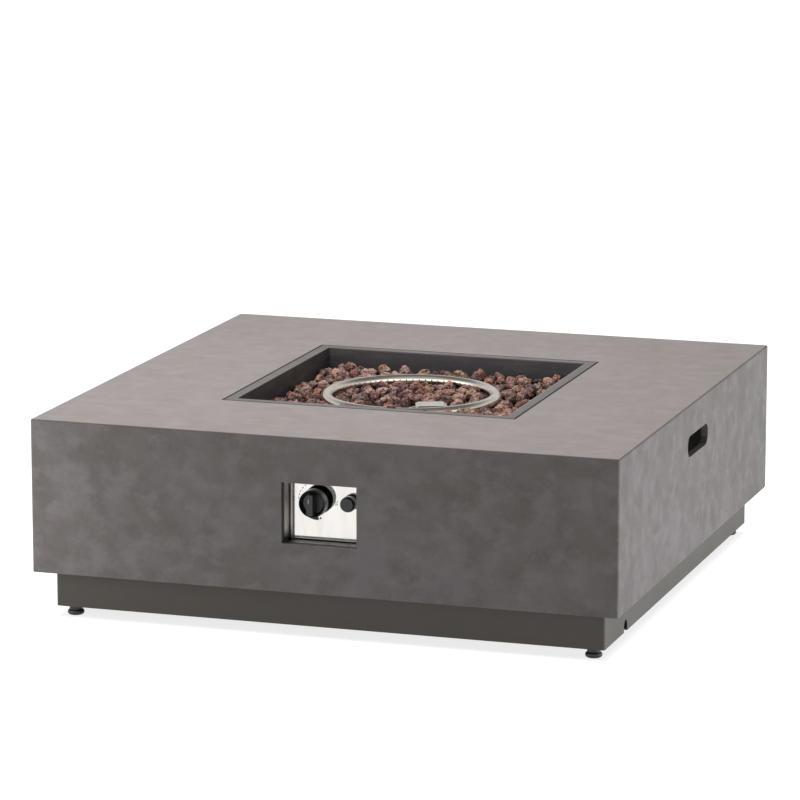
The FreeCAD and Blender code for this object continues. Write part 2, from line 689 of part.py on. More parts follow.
def burner_feed():
    """Nipple through the pan floor, its two locknuts, air mixer and elbow with the orifice."""
    nipple = turned("nipple_body", [
        ("nipple_bore", "236"), ("nipple_radius", "236"), ("nipple_radius", "bar_level + 3.5"),
        ("nipple_bore", "bar_level + 3.5"),
    ])
    keep(place(nipple, "ring_shift", "0", "0"), "burner_nipple")
    nut = hex_nut("burner_nut", "32", "nipple_radius + 0.1", "6.5")
    copies("burner_locknuts", nut, [at("ring_shift", 0, PAN_FLOOR), at("ring_shift", 0, f"{PAN_UNDER} - 6.5")])
    mixer = turned("mixer_body", [
        ("5", "208"), ("13", "208"), ("13", "240"), ("nipple_radius + 0.1", "240"),
        ("nipple_radius + 0.1", "212"), ("5", "212"),
    ])
    windows = [block("window_x", ("-20", "-4", "217"), ("20", "4", "231")),
               block("window_y", ("-4", "-20", "217"), ("4", "20", "231"))]
    mixer_cut = cut("mixer_cut", mixer, windows)
    keep(place(mixer_cut, "ring_shift", "0", "0"), "air_mixer")
    upright_arm = rod("elbow_up", "8", ("ring_shift", "0", "186"), "22")
    nose = rod("elbow_nose", "4.6", ("ring_shift", "0", "206"), "10")
    arm = rod("elbow_arm", "7.5", ("ring_shift", "0", "196"), "24", TO_FRONT)
    jet = rod("elbow_jet", "0.9", ("ring_shift", "0", "209"), "10")
    way_up = rod("elbow_way_up", "2.8", ("ring_shift", "0", "193"), "17")
    way_in = rod("elbow_way_in", "2.3", ("ring_shift", "0", "196"), "30", TO_FRONT)
    keep(cut("elbow_cut", fuse("elbow_skin", [upright_arm, nose, arm]), [jet, way_up, way_in]), "gas_orifice")


def electrode_group():
    """Sheet shield over the spark gap, the electrode and the thermocouple."""
    turn = FreeCAD.Rotation(FreeCAD.Vector(0, 0, 1), value("shield_turn"))
    body = new_body("shield_body")
    hood = new_sketch(body, "XZ_Plane")
    outline(hood, [("-26", "318.6"), ("-21", "321"), ("21", "321"), ("27", "317.4"), ("27.6", "318.5"),
                   ("21.4", "322.2"), ("-21.4", "322.2"), ("-26.5", "319.8")])
    pad(body, hood, "39", both_ways=True)
    leg = new_sketch(body, offset=PAN_FLOOR)
    rectangle(leg, ("-20", "18.3"), ("20", "19.5"))
    pad(body, leg, f"321.5 - {PAN_FLOOR}")
    sole = new_sketch(body, offset=PAN_FLOOR)
    rectangle(sole, ("-20", "18.5"), ("20", "33"))
    for x, y in SHIELD_SCREWS:
        circle(sole, x, y, "2.2")
    pad(body, sole, "1.2")
    keep(place(body, "shield_place_x", "shield_place_y", "0", turn), "electrode_shield")

    turn_over = FreeCAD.Rotation(FreeCAD.Vector(1, 0, 0), 180)
    shield_screw = screw("shield_screw", "2", "10", "3.8", "2.4")
    level = value(PAN_FLOOR) + 1.2
    copies("shield_screws", shield_screw, [at(*in_shield_frame(*spot), level, turn_over) for spot in SHIELD_SCREWS])

    x, y = in_shield_frame(*ELECTRODE_SPOT)
    ceramic = turned("ceramic_body", [
        ("1.1", "246"), ("2.6", "246"), ("4", "248"), ("4", PAN_FLOOR), ("6.5", PAN_FLOOR),
        ("6.5", f"{PAN_FLOOR} + 2.5"), ("4", f"{PAN_FLOOR} + 3.5"), ("4", "307"), ("2.6", "310"), ("1.1", "310"),
    ])
    keep(place(ceramic, x, y, "0"), "electrode_ceramic")
    tip_x, tip_y = in_shield_frame(ELECTRODE_SPOT[0] + 13, ELECTRODE_SPOT[1] - 4)
    tube("electrode_rod", "1", [(x, y, 240), (x, y, 315), (tip_x, tip_y, 316)])

    x, y = in_shield_frame(*THERMOCOUPLE_SPOT)
    thermocouple = turned("thermocouple_body", [
        ("0", "250"), ("3.2", "250"), ("3.2", PAN_FLOOR), ("5.5", PAN_FLOOR), ("5.5", f"{PAN_FLOOR} + 3"),
        ("3.2", f"{PAN_FLOOR} + 3"), ("3.2", "296"), ("2.2", "300"), ("2.2", "316"), ("1.2", "317.5"), ("0", "317.5"),
    ])
    keep(place(thermocouple, x, y, "0"), "thermocouple")
    rings = []
    for spot, radius in ((ELECTRODE_SPOT, 4.05), (THERMOCOUPLE_SPOT, 3.25)):
        x, y = in_shield_frame(*spot)
        outer = Part.makeCylinder(radius + 4, 1, FreeCAD.Vector(x, y, value(PAN_UNDER) - 1))
        rings.append(outer.cut(Part.makeCylinder(radius, 3, FreeCAD.Vector(x, y, value(PAN_UNDER) - 2))))
    clips = DOC.addObject("Part::Feature", "clip_rings")
    clips.Shape = Part.makeCompound(rings)
    keep(clips, "electrode_clips")


# Lava rock

def lava_bed():
    """The packed lower rocks as one solid, open where the burner parts stand."""
    half = "(pan_inner / 2 - 2)"
    bed = block("bed_block", (f"-{half}", f"-{half}", f"{PAN_FLOOR} + fit_gap"), (half, half, "bed_top"))
    hub_room = rod("bed_hub_room", "hub_radius + 7", ("ring_shift", "0", "250"), "60")
    bar_room = block("bed_bar_room", ("ring_shift - ring_radius - 14", "-bar_radius - 2", "bar_level - bar_radius - 2"),
                     ("ring_shift + ring_radius + 14", "bar_radius + 2", "bed_top + 1"))
    group_room = DOC.addObject("Part::Feature", "bed_group_room")
    group_room.Shape = Part.makeBox(82, 60, 60, FreeCAD.Vector(-50, -23, 250))
    turn = FreeCAD.Rotation(FreeCAD.Vector(0, 0, 1), value("shield_turn"))
    place(group_room, "shield_place_x", "shield_place_y", "0", turn)
    keep(cut("bed_cut", bed, [hub_room, bar_room, group_room]), "lava_bed")


ROCK_STEP = 37
ROCK_SEED = 5


def rock(centre, radii, rotation):
    """A convex rock: an icosahedron stretched three ways and turned."""
    golden = (1 + math.sqrt(5)) / 2
    scale = 1 / math.hypot(1, golden)
    spots = []
    for a in (-1, 1):
        for b in (-golden, golden):
            spots += [(0, a, b), (a, b, 0), (b, 0, a)]
    spots = [FreeCAD.Vector(*spot) * scale for spot in spots]
    edge = min(spots[0].distanceToPoint(p) for p in spots[1:]) * 1.01
    moved = [centre + rotation.multVec(FreeCAD.Vector(p.x * radii[0], p.y * radii[1], p.z * radii[2])) for p in spots]
    faces = []
    for i in range(12):
        for j in range(i + 1, 12):
            for k in range(j + 1, 12):
                sides = ((i, j), (j, k), (i, k))
                if all(spots[a].distanceToPoint(spots[b]) < edge for a, b in sides):
                    faces.append(Part.Face(Part.makePolygon([moved[i], moved[j], moved[k], moved[i]])))
    return Part.makeSolid(Part.makeShell(faces))


def rock_room(x, y, reach):
    """Which group a rock here belongs to, or None where it would touch something."""
    ring_distance = math.hypot(x - value("ring_shift"), y)
    turn = math.radians(-value("shield_turn"))
    dx, dy = x - value("shield_place_x"), y - value("shield_place_y")
    across = dx * math.cos(turn) - dy * math.sin(turn)
    along = dx * math.sin(turn) + dy * math.cos(turn)
    if -43 - reach < across < 28 + reach and -20 - reach < along < 20 + reach:
        return None
    if ring_distance > value("ring_radius + tube_radius") + reach + 0.5:
        return "outer"
    if ring_distance < value("ring_radius - tube_radius") - reach - 0.5:
        return "inner"
    return None


def lava_rocks():
    """The top layer of loose rock, inside and outside the ring, on the packed bed."""
    draw = random.Random(ROCK_SEED)
    groups = {"outer": [], "inner": []}
    count = int((value("pan_inner") - 8) / ROCK_STEP)
    first = -(count - 1) / 2 * ROCK_STEP
    for i in range(count):
        for j in range(count):
            x = first + i * ROCK_STEP + draw.uniform(-1.5, 1.5)
            y = first + j * ROCK_STEP + draw.uniform(-1.5, 1.5)
            radii = [draw.uniform(12.5, 16) for _ in range(3)]
            turn = FreeCAD.Rotation(draw.uniform(0, 360), draw.uniform(0, 360), draw.uniform(0, 360))
            group = rock_room(x, y, max(radii))
            if group:
                shape = rock(FreeCAD.Vector(x, y, 0), radii, turn)
                shape.translate(FreeCAD.Vector(0, 0, value("bed_top") + 0.1 - shape.BoundBox.ZMin))
                groups[group].append(shape)
    for group, rocks in groups.items():
        thing = DOC.addObject("Part::Feature", "rocks_" + group)
        thing.Shape = Part.makeCompound(rocks)
        keep(thing, "lava_rocks_" + group)
        print(f"lava_rocks_{group}: {len(rocks)} rocks")


# Control recess

PLATE_SCREW_LEVELS = (180, 248)


def plate_screw_places():
    back = value(PLATE_FACE) + 7
    out = value("opening_width") / 2 + value("box_sheet")
    places = []
    for level in PLATE_SCREW_LEVELS:
        places.append(FreeCAD.Placement(FreeCAD.Vector(out, back, level), TO_LEFT))
        places.append(FreeCAD.Placement(FreeCAD.Vector(-out, back, level), TO_RIGHT))
    return places


def plate_screw_holes(radius):
    holes = []
    for spot in plate_screw_places():
        hole = Part.makeCylinder(radius, 8)
        hole.Placement = spot.multiply(FreeCAD.Placement(FreeCAD.Vector(0, 0, -2), UP))
        holes.append(hole)
    return holes


def control_box():
    """A sheet sleeve behind the front opening, flanged against the wall."""
    body = new_body("box_body")
    x_out, low_out, high_out = "opening_width / 2 + box_sheet", "opening_low - box_sheet", "opening_high + box_sheet"
    flange = new_sketch(body, "XZ_Plane", f"-{BOX_FRONT}")
    rectangle(flange, (f"-({x_out} + box_flange)", f"{low_out} - box_flange"),
              (f"{x_out} + box_flange", f"{high_out} + box_flange"))
    pad(body, flange, "box_sheet", reverse=True)
    sleeve = new_sketch(body, "XZ_Plane", f"-{BOX_FRONT}")
    rectangle(sleeve, (f"-({x_out})", low_out), (x_out, high_out))
    pad(body, sleeve, "box_depth", reverse=True)
    inside = new_sketch(body, "XZ_Plane", f"-{BOX_FRONT} + 1")
    rectangle(inside, ("-opening_width / 2", "opening_low"), ("opening_width / 2", "opening_high"))
    pocket(body, inside, "box_depth + 2")
    drill = DOC.addObject("Part::Feature", "box_drilling")
    holes = plate_screw_holes(1.7)
    for spot in box_screw_places():
        hole = Part.makeCylinder(2.2, 8)
        hole.Placement = spot.multiply(FreeCAD.Placement(FreeCAD.Vector(0, 0, -4), UP))
        holes.append(hole)
    drill.Shape = Part.makeCompound(holes)
    keep(cut("box_drilled", body, [drill]), "control_box")
    copies("box_screws", screw("box_screw", "2", "12", "3.9", "2.4"), box_screw_places())


def box_gasket():
    """Foam between the wall and the box flange; its inner edge shows as a dark seam."""
    body = new_body("gasket_body")
    x_out, low_out, high_out = "opening_width / 2 + box_sheet", "opening_low - box_sheet", "opening_high + box_sheet"
    face = new_sketch(body, "XZ_Plane", f"-{WALL_BACK}")
    rectangle(face, (f"-({x_out} + box_flange)", f"{low_out} - box_flange"),
              (f"{x_out} + box_flange", f"{high_out} + box_flange"))
    rectangle(face, ("-opening_width / 2 - 1", "opening_low - 1"), ("opening_width / 2 + 1", "opening_high + 1"))
    pad(body, face, "gasket_thick", reverse=True)
    drill = DOC.addObject("Part::Feature", "gasket_drilling")
    holes = []
    for spot in box_screw_places():
        hole = Part.makeCylinder(2.2, 12)
        hole.Placement = spot.multiply(FreeCAD.Placement(FreeCAD.Vector(0, 0, -2), UP))
        holes.append(hole)
    drill.Shape = Part.makeCompound(holes)
    keep(cut("gasket_drilled", body, [drill]), "box_gasket")


def control_plate():
    """The polished plate, bent back at both sides, with holes for gland and igniter."""
    body = new_body("plate_body")
    half = "(opening_width / 2 - plate_gap)"
    low, high = "(opening_low + plate_end_gap)", "(opening_high - plate_end_gap)"
    face = new_sketch(body, "XZ_Plane", f"-{PLATE_FACE}")
    rectangle(face, (f"-{half}", low), (half, high))
    pad(body, face, "12", reverse=True)
    front = value(PLATE_FACE)
    fillet(body, "plate_bend", lambda edge: upright(edge) and edge.BoundBox.YMin < front + 0.01)
    inside = new_sketch(body, "XZ_Plane", f"-{PLATE_FACE} - 13")
    rectangle(inside, (f"-{half} + box_sheet", f"{low} - 1"), (f"{half} - box_sheet", f"{high} + 1"))
    pocket(body, inside, "13 - box_sheet", reverse=True)
    holes = new_sketch(body, "XZ_Plane", f"-{PLATE_FACE} + 1")
    circle(holes, "knob_place", "knob_level", "gland_radius + 0.3")
    circle(holes, "igniter_place", "igniter_level", "barrel_radius + 0.3")
    pocket(body, holes, "5")
    drill = DOC.addObject("Part::Feature", "plate_drilling")
    drill.Shape = Part.makeCompound(plate_screw_holes(1.6))
    keep(cut("plate_drilled", body, [drill]), "control_plate")
    copies("plate_screws", screw("plate_screw", "1.5", "5", "2.9", "1.7"), plate_screw_places())


# Gas valve and knob. Depths are measured from the plate's front face, plus to the inside.

def depth(number):
    return f"{PLATE_FACE} + ({number})"


def gas_valve():
    x, z = "knob_place", "knob_level"
    skins = [
        block("valve_block", (f"{x} - 15", depth(3), f"{z} - 31.5"), (f"{x} + 15", depth(50), f"{z} + 16")),
        rod("valve_gland", "gland_radius", (x, depth(-5.5), z), "12", TO_BACK),
        rod("valve_outlet", "8", (x, depth(48), f"{z} - 22.5"), "8", TO_BACK),
    ]
    ways = [
        rod("stem_way", "stem_radius + 0.08", (x, depth(-6), z), "14", TO_BACK),
        rod("spring_room", "6.2", (x, depth(7), z), "16", TO_BACK),
        rod("plug_room", "plug_radius + 0.06", (x, depth(22), z), "40", TO_BACK),
        rod("inlet_way", "4", (f"{x} - 20", depth("inlet_depth"), z), "20", TO_RIGHT),
        rod("magnet_way", "3.5", (x, depth(25), f"{z} - 35"), "34"),
        rod("outlet_rise", "3", (x, depth(42), f"{z} - 22.5"), "22"),
        rod("outlet_way", "3", (x, depth(42), f"{z} - 22.5"), "20", TO_BACK),
    ]
    keep(cut("valve_cut", fuse("valve_skin", skins), ways), "valve_body")

    nut = hex_nut("gland_nut", "22", "gland_radius + 0.05", "4")
    keep(place(nut, x, depth(0), z, TO_FRONT), "valve_nut")

    end_cap = turned("end_cap_body", [
        ("0", "0"), ("11", "0"), ("11", "3"), ("10", "4"), ("0", "4"),
    ])
    keep(place(end_cap, x, depth(50), z, TO_BACK), "valve_end_cap")

    magnet = turned("magnet_body", [
        ("0", "0"), ("5.5", "0"), ("5.5", "8"), ("8", "8"), ("8", "26"), ("7", "27"), ("0", "27"),
    ])
    keep(place(magnet, x, depth(25), f"{z} - 31.5 - 27"), "magnet_unit")

    elbow_x = f"{x} - 38"
    back = depth("inlet_depth")
    skins = [
        rod("inlet_arm", "8.5", (elbow_x, back, z), "23", TO_RIGHT),
        rod("inlet_drop", "8.5", (elbow_x, back, f"{z} - 22"), "30.5"),
        rod("inlet_thread", "7.94", (elbow_x, back, f"{z} - 37"), "16"),
        rod("inlet_nose", "5.5", (elbow_x, back, f"{z} - 39"), "6"),
    ]
    ways = [
        rod("inlet_bore", "4", (elbow_x, back, z), "30", TO_RIGHT),
        rod("inlet_bore_down", "4", (elbow_x, back, f"{z} - 45"), "45"),
    ]
    keep(cut("inlet_cut", fuse("inlet_skin", skins), ways), "gas_inlet_elbow")


def valve_moving_parts():
    x, z = "knob_place", "knob_level"
    plug = turned("plug_body", [
        ("0", "23"), ("plug_radius", "23"), ("plug_radius", "49.5"), ("0", "49.5"),
    ])
    socket = new_sketch(plug, offset="22")
    circle(socket, "0", "0", "stem_radius + 0.08")
    pocket(plug, socket, "12", reverse=True)
    cross = rod("plug_port", "2.8", ("-10", "0", "40"), "20", TO_RIGHT)
    keep(place(cut("plug_cut", plug, [cross]), x, PLATE_FACE, z, TO_BACK), "valve_plug")

    stem = turned("stem_body", [
        ("0", "-17.7"), ("stem_radius", "-17.7"), ("stem_radius", "7.3"), ("5.6", "7.3"), ("5.6", "9.3"),
        ("stem_radius", "9.3"), ("stem_radius", "30"), ("0", "30"),
    ])
    keep(place(stem, x, PLATE_FACE, z, TO_BACK), "valve_stem")
    spot = FreeCAD.Placement(FreeCAD.Vector(value(x), value(PLATE_FACE) + 9.5, value(z)), TO_BACK)
    coil("valve_spring", 4.7, 0.5, 5, 13.2, spot)

    knob = turned("knob_body", [
        ("0", "18"), ("stem_radius + 0.05", "18"), ("stem_radius + 0.05", "9.5"), ("6.5", "9.5"), ("6.5", "17.5"),
        ("knob_radius - 3.5", "17.5"), ("knob_radius - 3.5", "12"), ("knob_radius", "12"),
        ("knob_radius - 0.7", "knob_rim - 2"), ("knob_radius - 1.2", "knob_rim - 0.6"),
        ("knob_radius - 2", "knob_rim"), ("knob_radius - 2.8", "knob_rim - 0.8"),
        ("knob_radius - 6.5", "knob_face"), ("0", "knob_face"),
    ])
    foot = new_sketch(knob, offset="knob_face - 0.1")
    rounded_rectangle(foot, ("-6.2", "-19.8"), ("6.2", "19.8"), "4.5")
    tip = new_sketch(knob, offset="knob_length")
    rounded_rectangle(tip, ("-5.4", "-17.8"), ("5.4", "17.8"), "4")
    grip = knob.newObject("PartDesign::AdditiveLoft", "knob_grip")
    grip.Profile = foot
    grip.Sections = [tip]
    end = value("knob_length") - 0.01
    fillet(knob, "1.2", lambda edge: edge.BoundBox.ZMin > end)
    keep(place(knob, x, PLATE_FACE, z, TO_FRONT), "knob")


# Igniter

def igniter():
    x, z = "igniter_place", "igniter_level"
    barrel = turned("barrel_body", [
        ("8.6", "-1.5"), ("11.6", "-1.5"), ("11.6", "0"), ("barrel_radius", "0"), ("barrel_radius", "68"),
        ("9", "70"), ("0", "70"), ("0", "67"), ("8.6", "67"),
    ])
    keep(place(barrel, x, PLATE_FACE, z, TO_BACK), "igniter_barrel")
    nut = hex_nut("barrel_nut", "27", "barrel_radius + 0.05", "5")
    keep(place(nut, x, f"{PLATE_FACE} + box_sheet", z, TO_BACK), "igniter_nut")
    cell = turned("cell_body", [
        ("0", "16"), ("2.7", "16"), ("2.7", "17.2"), ("6.6", "17.2"), ("7.2", "17.8"), ("7.2", "65.8"),
        ("6.6", "66.5"), ("0", "66.5"),
    ])
    keep(place(cell, x, PLATE_FACE, z, TO_BACK), "igniter_battery")
    button = turned("button_body", [
        ("0", "cap_length"), ("cap_radius - 3.4", "cap_length"), ("cap_radius - 1.8", "cap_length - 0.7"),
        ("cap_radius - 0.7", "cap_length - 2.6"), ("cap_radius", "cap_length - 6.6"), ("cap_radius", "3.5"),
        ("12", "3.5"), ("12", "8.5"), ("8.2", "8.5"), ("8.2", "-8"), ("0", "-8"),
    ])
    keep(place(button, x, PLATE_FACE, z, TO_FRONT), "igniter_button")
    spot = FreeCAD.Placement(FreeCAD.Vector(value(x), value(PLATE_FACE) + 8.3, value(z)), TO_BACK)
    coil("igniter_spring", 4.5, 0.5, 4, 7.4, spot)


# Gas tube, its nuts, the ignition lead and the thermocouple line

def lines():
    centre, valve = value("ring_shift"), value("knob_place")
    front = value(PLATE_FACE)
    outlet = value("knob_level") - 22.5
    tube("gas_tube", "gas_radius", [
        (centre, -24.3, 196), (centre, -80, 196), (centre - 2, -170, 192), (valve + 1.5, -290, 202),
        (valve, -350, outlet), (valve, front + 56.3, outlet),
    ])
    nut = hex_nut("tube_nut", "14", "gas_radius + 0.05", "10")
    copies("tube_nuts", nut, [at(centre, -24.2, 196, TO_FRONT), at(valve, front + 56.2, outlet, TO_BACK)])
    x, y = in_shield_frame(*ELECTRODE_SPOT)
    spade = value("igniter_place")
    tube("ignition_lead", "lead_radius", [
        (x, y, 239.7), (x, y, 220), (x + 4, y - 40, 206), (x + 10, -190, 203), (spade - 6, -260, 212),
        (spade, -330, 228), (spade, front + 70.3, "igniter_level"),
    ])
    x, y = in_shield_frame(*THERMOCOUPLE_SPOT)
    bottom = value("knob_level") - 31.5 - 27 - 0.3
    tube("thermocouple_line", "line_radius", [
        (x, y, 249.7), (x, y, 226), (x - 6, y - 40, 208), (-4, -210, 190), (valve - 2, -320, 172),
        (valve, -395, 152), (valve, front + 25, 144), (valve, front + 25, bottom),
    ])


table_shell()
base_frame()
plinth()
base_fasteners()
corner_plates()
feet()
burner_pan()
burner_ring()
burner_crossbar()
burner_feed()
electrode_group()
lava_bed()
lava_rocks()
control_box()
box_gasket()
control_plate()
gas_valve()
valve_moving_parts()
igniter()
lines()
DOC.recompute()

for thing in DOC.Objects:
    if "Invalid" in thing.State or "Error" in thing.State:
        raise RuntimeError(f"{thing.Name} ({thing.Label}) did not compute: {thing.State}")
os.makedirs("parts", exist_ok=True)
for part in PARTS:
    if part.Shape.isNull() or not part.Shape.isValid():
        raise RuntimeError(f"{part.Label} has no valid shape")
    part.Shape.exportStep(f"parts/{part.Label}.step")
    size = part.Shape.BoundBox
    print(f"{part.Label}: {len(part.Shape.Solids)} solids, {part.Shape.Volume / 1000:.1f} cm3, "
          f"x {size.XMin:.1f} {size.XMax:.1f}, y {size.YMin:.1f} {size.YMax:.1f}, z {size.ZMin:.1f} {size.ZMax:.1f}")
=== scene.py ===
# %% [markdown]
# # A low square gas fire table
#
# The real object is a cast concrete shell on a set-back steel plinth. A steel pan in its top holds
# lava rock and a ring burner, and a recess in its front holds a knob and an igniter button.
#
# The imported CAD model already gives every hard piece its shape, size and place. This script dresses
# it: it gives the pieces their materials, replaces the plain lava solids by rough rocks, adds small
# trim, and sets up a white studio with the camera of the photograph.
#
# Lengths are metres, with +X to the right, +Y to the back and +Z up.

# %% Load the CAD pieces
import json
import math

import bmesh
import bpy
import numpy as np
from mathutils import Matrix, Vector, noise


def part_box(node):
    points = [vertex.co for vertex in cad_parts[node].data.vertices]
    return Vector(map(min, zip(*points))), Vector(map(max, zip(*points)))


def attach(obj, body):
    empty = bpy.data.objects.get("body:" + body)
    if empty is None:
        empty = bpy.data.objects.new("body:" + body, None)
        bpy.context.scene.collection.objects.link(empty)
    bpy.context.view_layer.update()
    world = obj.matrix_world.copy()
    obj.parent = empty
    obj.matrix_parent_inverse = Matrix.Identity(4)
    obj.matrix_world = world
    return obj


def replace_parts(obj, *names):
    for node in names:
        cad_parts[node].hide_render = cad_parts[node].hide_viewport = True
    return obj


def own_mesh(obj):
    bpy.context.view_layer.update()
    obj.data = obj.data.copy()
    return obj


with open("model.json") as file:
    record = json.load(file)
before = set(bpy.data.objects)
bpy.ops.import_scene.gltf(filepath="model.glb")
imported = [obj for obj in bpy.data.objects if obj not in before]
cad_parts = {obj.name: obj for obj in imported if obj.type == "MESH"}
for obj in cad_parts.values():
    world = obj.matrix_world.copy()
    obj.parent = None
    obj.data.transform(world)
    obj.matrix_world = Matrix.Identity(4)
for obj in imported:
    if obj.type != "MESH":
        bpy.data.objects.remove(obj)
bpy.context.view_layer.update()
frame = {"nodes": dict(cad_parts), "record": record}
nodes = frame["nodes"]

# %% [markdown]
# ## Shader nodes by short calls
#
# A material in Blender is a small network of nodes. Every node and link could be written out, but
# that hides what the material does. These helpers keep it short: `connect` fills the inputs of a
# node, `add` makes one, and `start` opens a new material at its Principled shader.
#
# Patterns are placed by the object's own coordinates. The pieces have no UV map, and a pattern in
# these coordinates has its real size in metres and stays on the piece when the piece moves.

# %% Tools for nodes
def rgb(red, green, blue):
    return (red, green, blue, 1.0)


def connect(tree, node, inputs):
    """Link each input that is given as a socket, and set the others."""
    for key, given in inputs.items():
        if isinstance(given, bpy.types.NodeSocket):
            tree.links.new(given, node.inputs[key])
        else:
            node.inputs[key].default_value = given


def add(tree, kind, inputs=None, **settings):
    node = tree.nodes.new(kind)
    for key, setting in settings.items():
        setattr(node, key, setting)
    connect(tree, node, inputs or {})
    return node


def start(name):
    """A new material: itself, its node tree, its shader, and the place on the object."""
    material = bpy.data.materials.new(name)
    material.use_nodes = True
    tree = material.node_tree
    place = add(tree, "ShaderNodeTexCoord").outputs["Object"]
    return material, tree, tree.nodes["Principled BSDF"], place


print("node tools: rgb, connect, add, start")

# %% [markdown]
# ## Patterns and masks
#
# Worn and cast surfaces are never one flat colour. Most patterns here start as a noise, a smooth
# random field. `between` cuts a range out of it and turns it into a mask from 0 to 1, and `wash`
# lays a second tone over the colour where that mask is high, as a painter lays a thin wash. An image
# would be quicker to place, but a noise needs no file and doesn't repeat.
#
# `bump` bends the light as if the surface had small relief. It is used only for what is too small
# to see at the outline, such as the grain of paint.

# %% Tools for patterns
def noise_of(tree, place, scale, detail=4.0, roughness=0.5, distortion=0.0):
    return add(tree, "ShaderNodeTexNoise", {
        "Vector": place, "Scale": scale, "Detail": detail,
        "Roughness": roughness, "Distortion": distortion,
    }).outputs["Fac"]


def stretched(tree, place, scale):
    """The place with its axes scaled, so that a noise on it has a grain."""
    return add(tree, "ShaderNodeMapping", {"Vector": place, "Scale": scale}).outputs["Vector"]


def between(tree, fac, low, high, to_low=0.0, to_high=1.0):
    return add(tree, "ShaderNodeMapRange", {
        "Value": fac, "From Min": low, "From Max": high, "To Min": to_low, "To Max": to_high,
    }).outputs["Result"]


def mix(tree, fac, first, second):
    return add(tree, "ShaderNodeMixRGB", {"Fac": fac, "Color1": first, "Color2": second}).outputs["Color"]


def wash(tree, colour, mask, low, high, amount, tone):
    """The colour, with a tone laid over it where the mask rises from low to high."""
    return mix(tree, between(tree, mask, low, high, 0.0, amount), colour, tone)


def maths(tree, operation, first, second):
    return add(tree, "ShaderNodeMath", {0: first, 1: second}, operation=operation).outputs["Value"]


def times(tree, first, second):
    return maths(tree, "MULTIPLY", first, second)


def along(tree, place, axis):
    """One axis of a place, so that a mask can follow height, width or depth."""
    return add(tree, "ShaderNodeSeparateXYZ", {"Vector": place}).outputs[axis]


def bump(tree, height, distance, strength=1.0, after=None):
    inputs = {"Height": height, "Distance": distance, "Strength": strength}
    if after is not None:
        inputs["Normal"] = after
    return add(tree, "ShaderNodeBump", inputs).outputs["Normal"]


print("pattern tools: noise_of, stretched, between, mix, wash, maths, times, along, bump")

# %% [markdown]
# ## Plastics, ceramic and sleeves
#
# The knob, the button and the feet are moulded black plastic, the igniter's tip has a ceramic sleeve,
# and the leads wear silicone. One recipe serves all of them, since they differ only in colour, gloss
# and grain. A faint cloud in the colour and in the gloss keeps a large face from looking like a
# computer's flat black, and the fine grain breaks the highlight as moulded plastic does.

# %% Plastic materials
def plastic(name, colour, roughness, texture):
    material, tree, shader, place = start(name)
    cloud = noise_of(tree, place, 90.0, 3.0)
    paler = rgb(*[part * 1.6 + 0.002 for part in colour[:3]])
    shade = mix(tree, between(tree, cloud, 0.3, 0.7), colour, paler)
    grain = noise_of(tree, place, 2600.0, 2.0)
    rough = between(tree, cloud, 0.3, 0.7, roughness - 0.05, roughness + 0.08)
    connect(tree, shader, {
        "Base Color": shade, "Roughness": rough, "Normal": bump(tree, grain, texture, 0.7),
    })
    return material


LOOKS = {
    "black_plastic": plastic("black_plastic", rgb(0.011, 0.011, 0.013), 0.34, 0.00004),
    "ceramic": plastic("white_ceramic", rgb(0.5, 0.48, 0.45), 0.22, 0.00002),
    "foam": plastic("closed_cell_foam", rgb(0.01, 0.01, 0.01), 0.85, 0.0003),
    "lead_rubber": plastic("silicone_sleeve", rgb(0.018, 0.017, 0.017), 0.6, 0.00005),
    "cell_skin": plastic("cell_sleeve", rgb(0.02, 0.02, 0.022), 0.3, 0.00001),
}
print("plastics for the slots", ", ".join(LOOKS))

# %% [markdown]
# ## Brushed and turned metals
#
# The burner is stainless tube that fire has tinted yellow, the screws and nuts are zinc plated, and
# the fittings are turned brass. A metal mostly shows what is round it, so its look lies in how rough
# it is and in the fine lines that rolling or turning leaves. The lines are a noise squeezed along
# one axis: a real relief of lines would need millions of faces.

# %% Metal materials
LINE_GREY = rgb(0.25, 0.24, 0.23)


def brushed(name, colour, tint, roughness, grain, marks=0.2):
    material, tree, shader, place = start(name)
    lines = noise_of(tree, stretched(tree, place, grain), 1.0, 4.0, 0.6)
    cloud = noise_of(tree, place, 22.0, 4.0, 0.6)
    shade = wash(tree, colour, cloud, 0.42, 0.75, 0.45, tint)
    shade = wash(tree, shade, lines, 0.35, 0.7, marks, LINE_GREY)
    rough = between(tree, lines, 0.3, 0.7, roughness - 0.04, roughness + 0.07)
    normal = bump(tree, lines, 0.00005, 0.4)
    normal = bump(tree, noise_of(tree, place, 45.0, 3.0), 0.0003, 0.1, normal)
    connect(tree, shader, {
        "Base Color": shade, "Metallic": 1.0, "Roughness": rough, "Normal": normal, "Anisotropic": 0.3,
    })
    return material


metals = {
    "zinc": brushed("zinc_plate", rgb(0.58, 0.58, 0.58), rgb(0.5, 0.48, 0.42), 0.38,
                    (60.0, 60.0, 900.0)),
    "stainless": brushed("stainless_steel", rgb(0.8, 0.745, 0.67), rgb(0.62, 0.52, 0.42), 0.2,
                         (60.0, 60.0, 500.0), 0.12),
    "brass": brushed("turned_brass", rgb(0.62, 0.45, 0.2), rgb(0.5, 0.35, 0.14), 0.3,
                     (40.0, 40.0, 1200.0)),
    "aluminium": brushed("aluminium", rgb(0.6, 0.6, 0.6), rgb(0.5, 0.5, 0.49), 0.42,
                         (40.0, 900.0, 40.0)),
    "copper_line": brushed("copper_line", rgb(0.6, 0.33, 0.2), rgb(0.38, 0.22, 0.15), 0.35,
                           (50.0, 50.0, 50.0)),
}
LOOKS.update(metals)
print("metals for the slots", ", ".join(metals))

